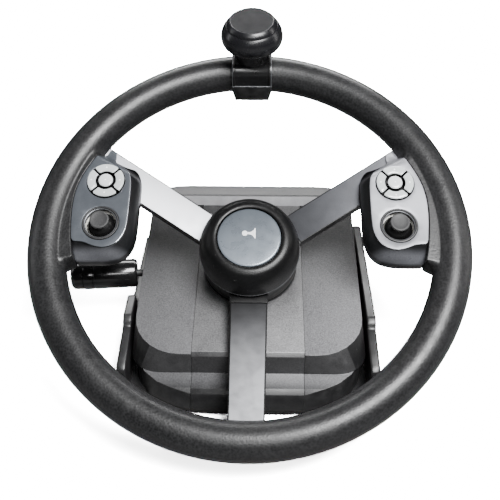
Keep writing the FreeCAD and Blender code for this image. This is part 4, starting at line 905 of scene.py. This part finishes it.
# ---------------------------------------------------------------- spinner knob and clamp
KNOB = (0.0, 160.0)
LEAN = math.radians(14.0)


def on_leaned(points):
    """Leans the spinner away from the driver about the rim tube's centre line."""
    x, y, z = np.asarray(points, float).reshape(-1, 3).T
    y = y - KNOB[1]
    return on_wheel(np.stack([x, KNOB[1] + y * math.cos(LEAN) + z * math.sin(LEAN),
                              z * math.cos(LEAN) - y * math.sin(LEAN)], 1))


knob = smooth_open([(15.5, 28.1), (16.2, 28.5), (16.5, 29.2), (16.45, 30.0)], 4)
knob += [(15.95, 30.2), (15.95, 30.6), (16.7, 30.8)]
knob += smooth_open([(17.6, 30.9), (20.6, 31.6), (23.8, 33.4), (25.5, 36.0), (26.05, 39.2),
                     (25.8, 42.2), (24.7, 45.6), (23.1, 48.3), (21.7, 49.85)], 7)
knob += [(21.0, 50.0), (7.5, 50.0), (7.5, 45.9), (5.05, 45.9), (5.05, 28.1)]
piece("knob_body", closed_turn(knob, KNOB, 128), ["knob_black"], "knob", "knob_shell",
      sharp=40, place=on_leaned)

cap = [(0.0, 50.1), (20.6, 50.1)]
cap += smooth_open([(21.35, 50.25), (20.95, 51.2), (20.3, 52.2), (19.45, 53.1), (18.65, 53.8),
                    (18.1, 54.12)], 5)
cap += [(17.9, 54.22), (17.65, 54.1), (17.4, 54.08), (8.0, 54.3), (0.0, 54.38)]
verts, faces, _ = turn(cap, KNOB, 128)
tags = []
for f in faces:
    r = max(math.hypot(verts[k][0] - KNOB[0], verts[k][1] - KNOB[1]) for k in f)
    tags.append(1 if r < 17.8 and min(verts[k][2] for k in f) > 54.0 else 0)
piece("knob_top", (verts, faces, tags), ["knob_black", "knob_disc"], "knob", "knob_cap",
      sharp=40, place=on_leaned)

# upper clamp: an arch over the rim, a round boss, and a painted highlight along the joint and
# near the arch's ends
y0, y1 = KNOB[1] - 19.5, KNOB[1] + 19.5
arch = fillet([(y0, 0.5), (y1, 0.5), (y1, 19.0), (y0, 19.0)], [0.4, 0.4, 11.0, 11.0], 12)
left_end = [(-17.0, -0.7), (-16.75, -0.2), (-16.3, 0.0), (-14.9, 0.0), (-14.6, -0.15),
            (-14.35, -0.75), (-14.0, -0.9)]    # (x, outline growth)
stations = left_end + [(-x, growth) for x, growth in reversed(left_end)]
sections = [[(x, y, max(z, 0.5)) for y, z in grow(arch, growth)] for x, growth in stations]
verts, faces, _ = loft(sections)
n = len(sections[0])
# painted highlight near the arch's ends and, below, along the joint
tags = [1 if {i // n for i in f} in ({1, 2}, {11, 12}) else 0 for f in faces]
boss = [(14.0, 17.0), (14.0, 26.6), (13.7, 27.2), (13.0, 27.4), (5.05, 27.4), (5.05, 17.0)]
y0, y1 = y0 - 0.12, y1 + 0.12
joint = fillet([(y0, 0.35), (y1, 0.35), (y1, 1.15), (y0, 1.15)], [0.2] * 4, 3)
joint_ends = ((-17.1, -0.15), (-16.95, 0.0), (16.95, 0.0), (17.1, -0.15))
line = loft([[(x, y, z) for y, z in grow(joint, growth)] for x, growth in joint_ends], tag=1)
piece("clamp_top", merge((verts, faces, tags), closed_turn(boss, KNOB), line),
      ["clamp_black", "seam_painted_highlight"], "wheel", "knob_clamp_upper", sharp=34,
      place=on_leaned)
dressed("knob_clamp_lower", "clamp_base", ["clamp_black"],
        [(0.45, 3, lambda mid, edge: edge.calc_length() > 0.0008)], body="wheel")


# ---------------------------------------------------------------- base
def panel_z(y):
    """Height of the sloping top panel."""
    return 65.92 + 0.17633 * y


def panel_edge(mid, edge):
    on_panel = all(abs(v.co.z * 1000 - panel_z(v.co.y * 1000)) < 0.6 for v in edge.verts)
    return on_panel and (abs(mid.x) > 45.5 or mid.y < -80)


def chin_edge(mid, edge):
    return mid.z > 20.0 and (mid.y < -86.5 or abs(mid.x) > 93)


def hood_edge(mid, edge):
    return mid.z > 74.0 and mid.y > 84.0


def long_edge(mid, edge):
    return edge.calc_length() > 0.0012


def every_edge(mid, edge):
    return True


# faces are coloured by their direction, as painted light and shade: up-facing faces the lit
# charcoal, faces towards the driver the darker front wall, the rest black
def panel_paint(face):
    if face.normal.z > 0.90:
        return 1
    return 2 if face.normal.y < -0.8 else 0


# coloured by direction, as painted light and shade: lit charcoal on top, chin charcoal low down,
# the darker front wall towards the driver, black elsewhere
def strip_paint(face):
    if face.normal.z > 0.80:
        return 3 if face.center.z < 0.034 else 1
    return 2 if face.normal.y < -0.6 and face.center.z > 0.030 else 0


# painted light and shade: upward faces take the lit charcoal, the rest black
def chin_paint(face):
    return 1 if face.normal.z > 0.55 else 0


# the riser face towards the driver is coloured light grey
def hood_paint(face):
    return 1 if face.normal.y < -0.9 and face.center.y < 0.0856 else 0


dressed("upper_shell", "panel_shell", ["shell_black", "panel_charcoal", "front_wall"],
        [(2.6, 5, panel_edge), (0.35, 2, long_edge)], paint=panel_paint)
dressed("centre_cover", "panel_strip",
        ["shell_black", "strip_charcoal", "front_wall", "chin_charcoal"],
        [(0.45, 2, long_edge)], paint=strip_paint)
dressed("lower_shell", "chin_shell", ["shell_black", "chin_charcoal"],
        [(4.5, 6, chin_edge), (0.35, 2, long_edge)], paint=chin_paint)
dressed("rear_cover", "rear_hood", ["hood_grey", "hood_riser"],
        [(1.2, 4, hood_edge), (0.3, 2, long_edge)], paint=hood_paint)
for side in ("left", "right"):
    dressed("cheek_" + side, "side_wall_" + side, ["cheek_black"], [(1.5, 4, every_edge)],
            sharp=38)
dressed("neck_collar", "neck_ring", ["collar_black"], [(0.4, 2, long_edge)])
dressed("base_plate", "floor_plate", ["black_powder_coat"], [(0.5, 2, long_edge)])
dressed("desk_mat", "desk_pad", ["mat_rubber"], [(0.8, 3, long_edge)])

# ---------------------------------------------------------------- side lever
LEVER_PIVOT = np.array([-78.0, 17.0, 54.0])
LEVER_TURN = math.radians(6.0)


def along_lever(points):
    """Local x, y across the lever, z outwards along it from its pivot."""
    v = np.asarray(points, float).reshape(-1, 3)
    out = np.array([-math.cos(LEVER_TURN), -math.sin(LEVER_TURN), 0.0])
    across = np.array([math.sin(LEVER_TURN), -math.cos(LEVER_TURN), 0.0])
    up = np.array([0.0, 0.0, 1.0])
    return (LEVER_PIVOT + v[:, :1] * across + v[:, 1:2] * up + v[:, 2:] * out) * MM


handle = [(3.53, 21.8), (10.0, 21.8), (11.6, 22.4), (12.5, 24.0), (12.5, 58.0), (12.35, 58.5),
          (11.9, 58.75), (11.9, 59.6), (12.35, 59.85), (12.5, 60.4), (12.5, 67.3), (12.2, 68.0),
          (3.53, 68.0)]
piece("lever_handle", closed_turn(handle), ["lever_black"], "lever", "lever_grip",
      sharp=38, place=along_lever)
tip = [(0.0, 68.2), (11.4, 68.2), (11.9, 68.7), (11.9, 74.4)]
tip += smooth_open([(11.75, 75.6), (11.0, 77.3), (9.4, 78.6), (6.6, 79.3), (0.0, 79.6)], 5)
piece("lever_tip", turn(tip), ["lever_black"], "lever", "lever_end_cap",
      sharp=38, place=along_lever)

# ---------------------------------------------------------------- finishes of the kept CAD nodes
KEPT = {
    "black_powder_coat": ["wheel_frame", "lever_bracket", "lever_rod"],
    "turned_steel": ["steering_shaft", "knob_post", "gear_axle", "usb_socket"],
    "zinc_plate": ["shaft_nut", "hub_bolts", "case_screws", "clamp_screws"],
    "sintered_bronze": ["shaft_bushes"],
    "cast_alloy": ["bearing_block"],
    "solder_mask_black": ["pod_boards"],
    "solder_mask": ["main_board"],
    "natural_nylon": ["stick_ring_left", "stick_ring_right", "stop_gear", "lever_yoke"],
}
for finish, nodes in KEPT.items():
    for node in nodes:
        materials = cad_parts[node].data.materials
        materials.clear()
        materials.append(FINISH[finish])


# ---------------------------------------------------------------- floor and world
def make_floor():
    """A floor that the camera sees as white but that throws little light back."""
    g = Graph("studio_floor")
    path = g.add("ShaderNodeLightPath")
    diffuse = g.add("ShaderNodeBsdfDiffuse")
    soft = g.remap(g.noise(3.0), span=(0.3, 0.7), to=(0.985, 1.0))
    seen = g.remap(path.outputs["Is Camera Ray"], span=(0.0, 1.0), to=(0.16, 17.0))
    gain = g.calc("MULTIPLY", seen, soft)
    grey = g.add("ShaderNodeCombineColor")
    for channel in range(3):
        g.link(gain, grey.inputs[channel])
    g.link(grey.outputs["Color"], diffuse.inputs["Color"])
    g.link(diffuse.outputs["BSDF"], g.out.inputs["Surface"])
    mesh = bpy.data.meshes.new("floor")
    mesh.from_pydata([(-8, -8, 0), (8, -8, 0), (8, 8, 0), (-8, 8, 0)], [], [(0, 1, 2, 3)])
    mesh.materials.append(g.mat)
    floor = bpy.data.objects.new("floor", mesh)
    bpy.context.scene.collection.objects.link(floor)


def make_world():
    """A weak sky, white at the horizon and greyer overhead."""
    world = bpy.data.worlds.new("studio")
    bpy.context.scene.world = world
    world.use_nodes = True
    nodes, links = world.node_tree.nodes, world.node_tree.links
    nodes.clear()
    output = nodes.new("ShaderNodeOutputWorld")
    background = nodes.new("ShaderNodeBackground")
    coord = nodes.new("ShaderNodeTexCoord")
    split = nodes.new("ShaderNodeSeparateXYZ")
    ramp = nodes.new("ShaderNodeValToRGB")
    horizon, overhead = ramp.color_ramp.elements
    horizon.position = 0.0
    horizon.color = (1.0, 1.0, 1.0, 1.0)
    overhead.position = 0.9
    overhead.color = (0.30, 0.31, 0.33, 1.0)
    background.inputs["Strength"].default_value = 0.07
    links.new(coord.outputs["Generated"], split.inputs["Vector"])
    links.new(split.outputs["Z"], ramp.inputs["Fac"])
    links.new(ramp.outputs["Color"], background.inputs["Color"])
    links.new(background.outputs["Background"], output.inputs["Surface"])


make_floor()
make_world()


# ---------------------------------------------------------------- lights
def softbox(name, at, aim, size, power, tint=(1.0, 1.0, 1.0)):
    light = bpy.data.lights.new(name, "AREA")
    light.shape = "RECTANGLE"
    light.size, light.size_y = size
    light.energy = power
    light.color = tint
    ob = bpy.data.objects.new(name, light)
    ob.location = at
    ob.rotation_euler = (Vector(aim) - Vector(at)).to_track_quat("-Z", "Y").to_euler()
    bpy.context.scene.collection.objects.link(ob)


softbox("key_box", at=(0.36, -0.50, 1.08), aim=(0.02, -0.05, 0.1), size=(0.56, 0.44), power=40.0)
softbox("left_strip", at=(-1.25, 0.15, 0.75), aim=(0.0, 0.0, 0.12), size=(0.26, 1.1), power=2.2,
        tint=(0.97, 0.98, 1.0))
softbox("right_strip", at=(1.25, 0.25, 0.6), aim=(0.0, 0.0, 0.12), size=(0.26, 1.1), power=3.0,
        tint=(1.0, 0.99, 0.97))
softbox("back_box", at=(0.0, 1.2, 0.95), aim=(0.0, 0.05, 0.15), size=(1.3, 0.34), power=21.0)
softbox("front_box", at=(0.08, -0.85, 0.72), aim=(0.0, 0.1, 0.2), size=(0.5, 0.12), power=2.6)

# ---------------------------------------------------------------- camera
# View of the wheel: its axes and its hub (mm) in the camera's frame, and a roll about its axis
VIEW = np.array([[0.99932546, -0.03456824, -0.01239586],
                 [0.03659779, 0.90953952, 0.41400298],
                 [-0.00303683, -0.41417738, 0.91019112]])
HUB_IN_VIEW = np.array([-0.61337, 9.46022857, -623.14206])
ROLL = math.radians(-2.9)

roll = np.array([[math.cos(ROLL), -math.sin(ROLL), 0],
                 [math.sin(ROLL), math.cos(ROLL), 0],
                 [0, 0, 1]])
wheel_axes = np.array([[1.0, 0, 0], [0, TILT_COS, -TILT_SIN], [0, TILT_SIN, TILT_COS]])
to_view = VIEW @ roll @ wheel_axes.T
camera_at = (HUB - to_view.T @ HUB_IN_VIEW) * MM
# the nearest pure rotation takes out the rounding of VIEW
left, _, right = np.linalg.svd(to_view)
camera_axes = (left @ right).T

camera_data = bpy.data.cameras.new("photo_camera")
camera_data.lens = 56.62
camera_data.sensor_width = 36.0
camera_data.clip_start = 0.01
camera = bpy.data.objects.new("photo_camera", camera_data)
placed = Matrix.Identity(4)
for i in range(3):
    for j in range(3):
        placed[i][j] = float(camera_axes[i][j])
    placed[i][3] = float(camera_at[i])
camera.matrix_world = placed
bpy.context.scene.collection.objects.link(camera)
bpy.context.scene.camera = camera
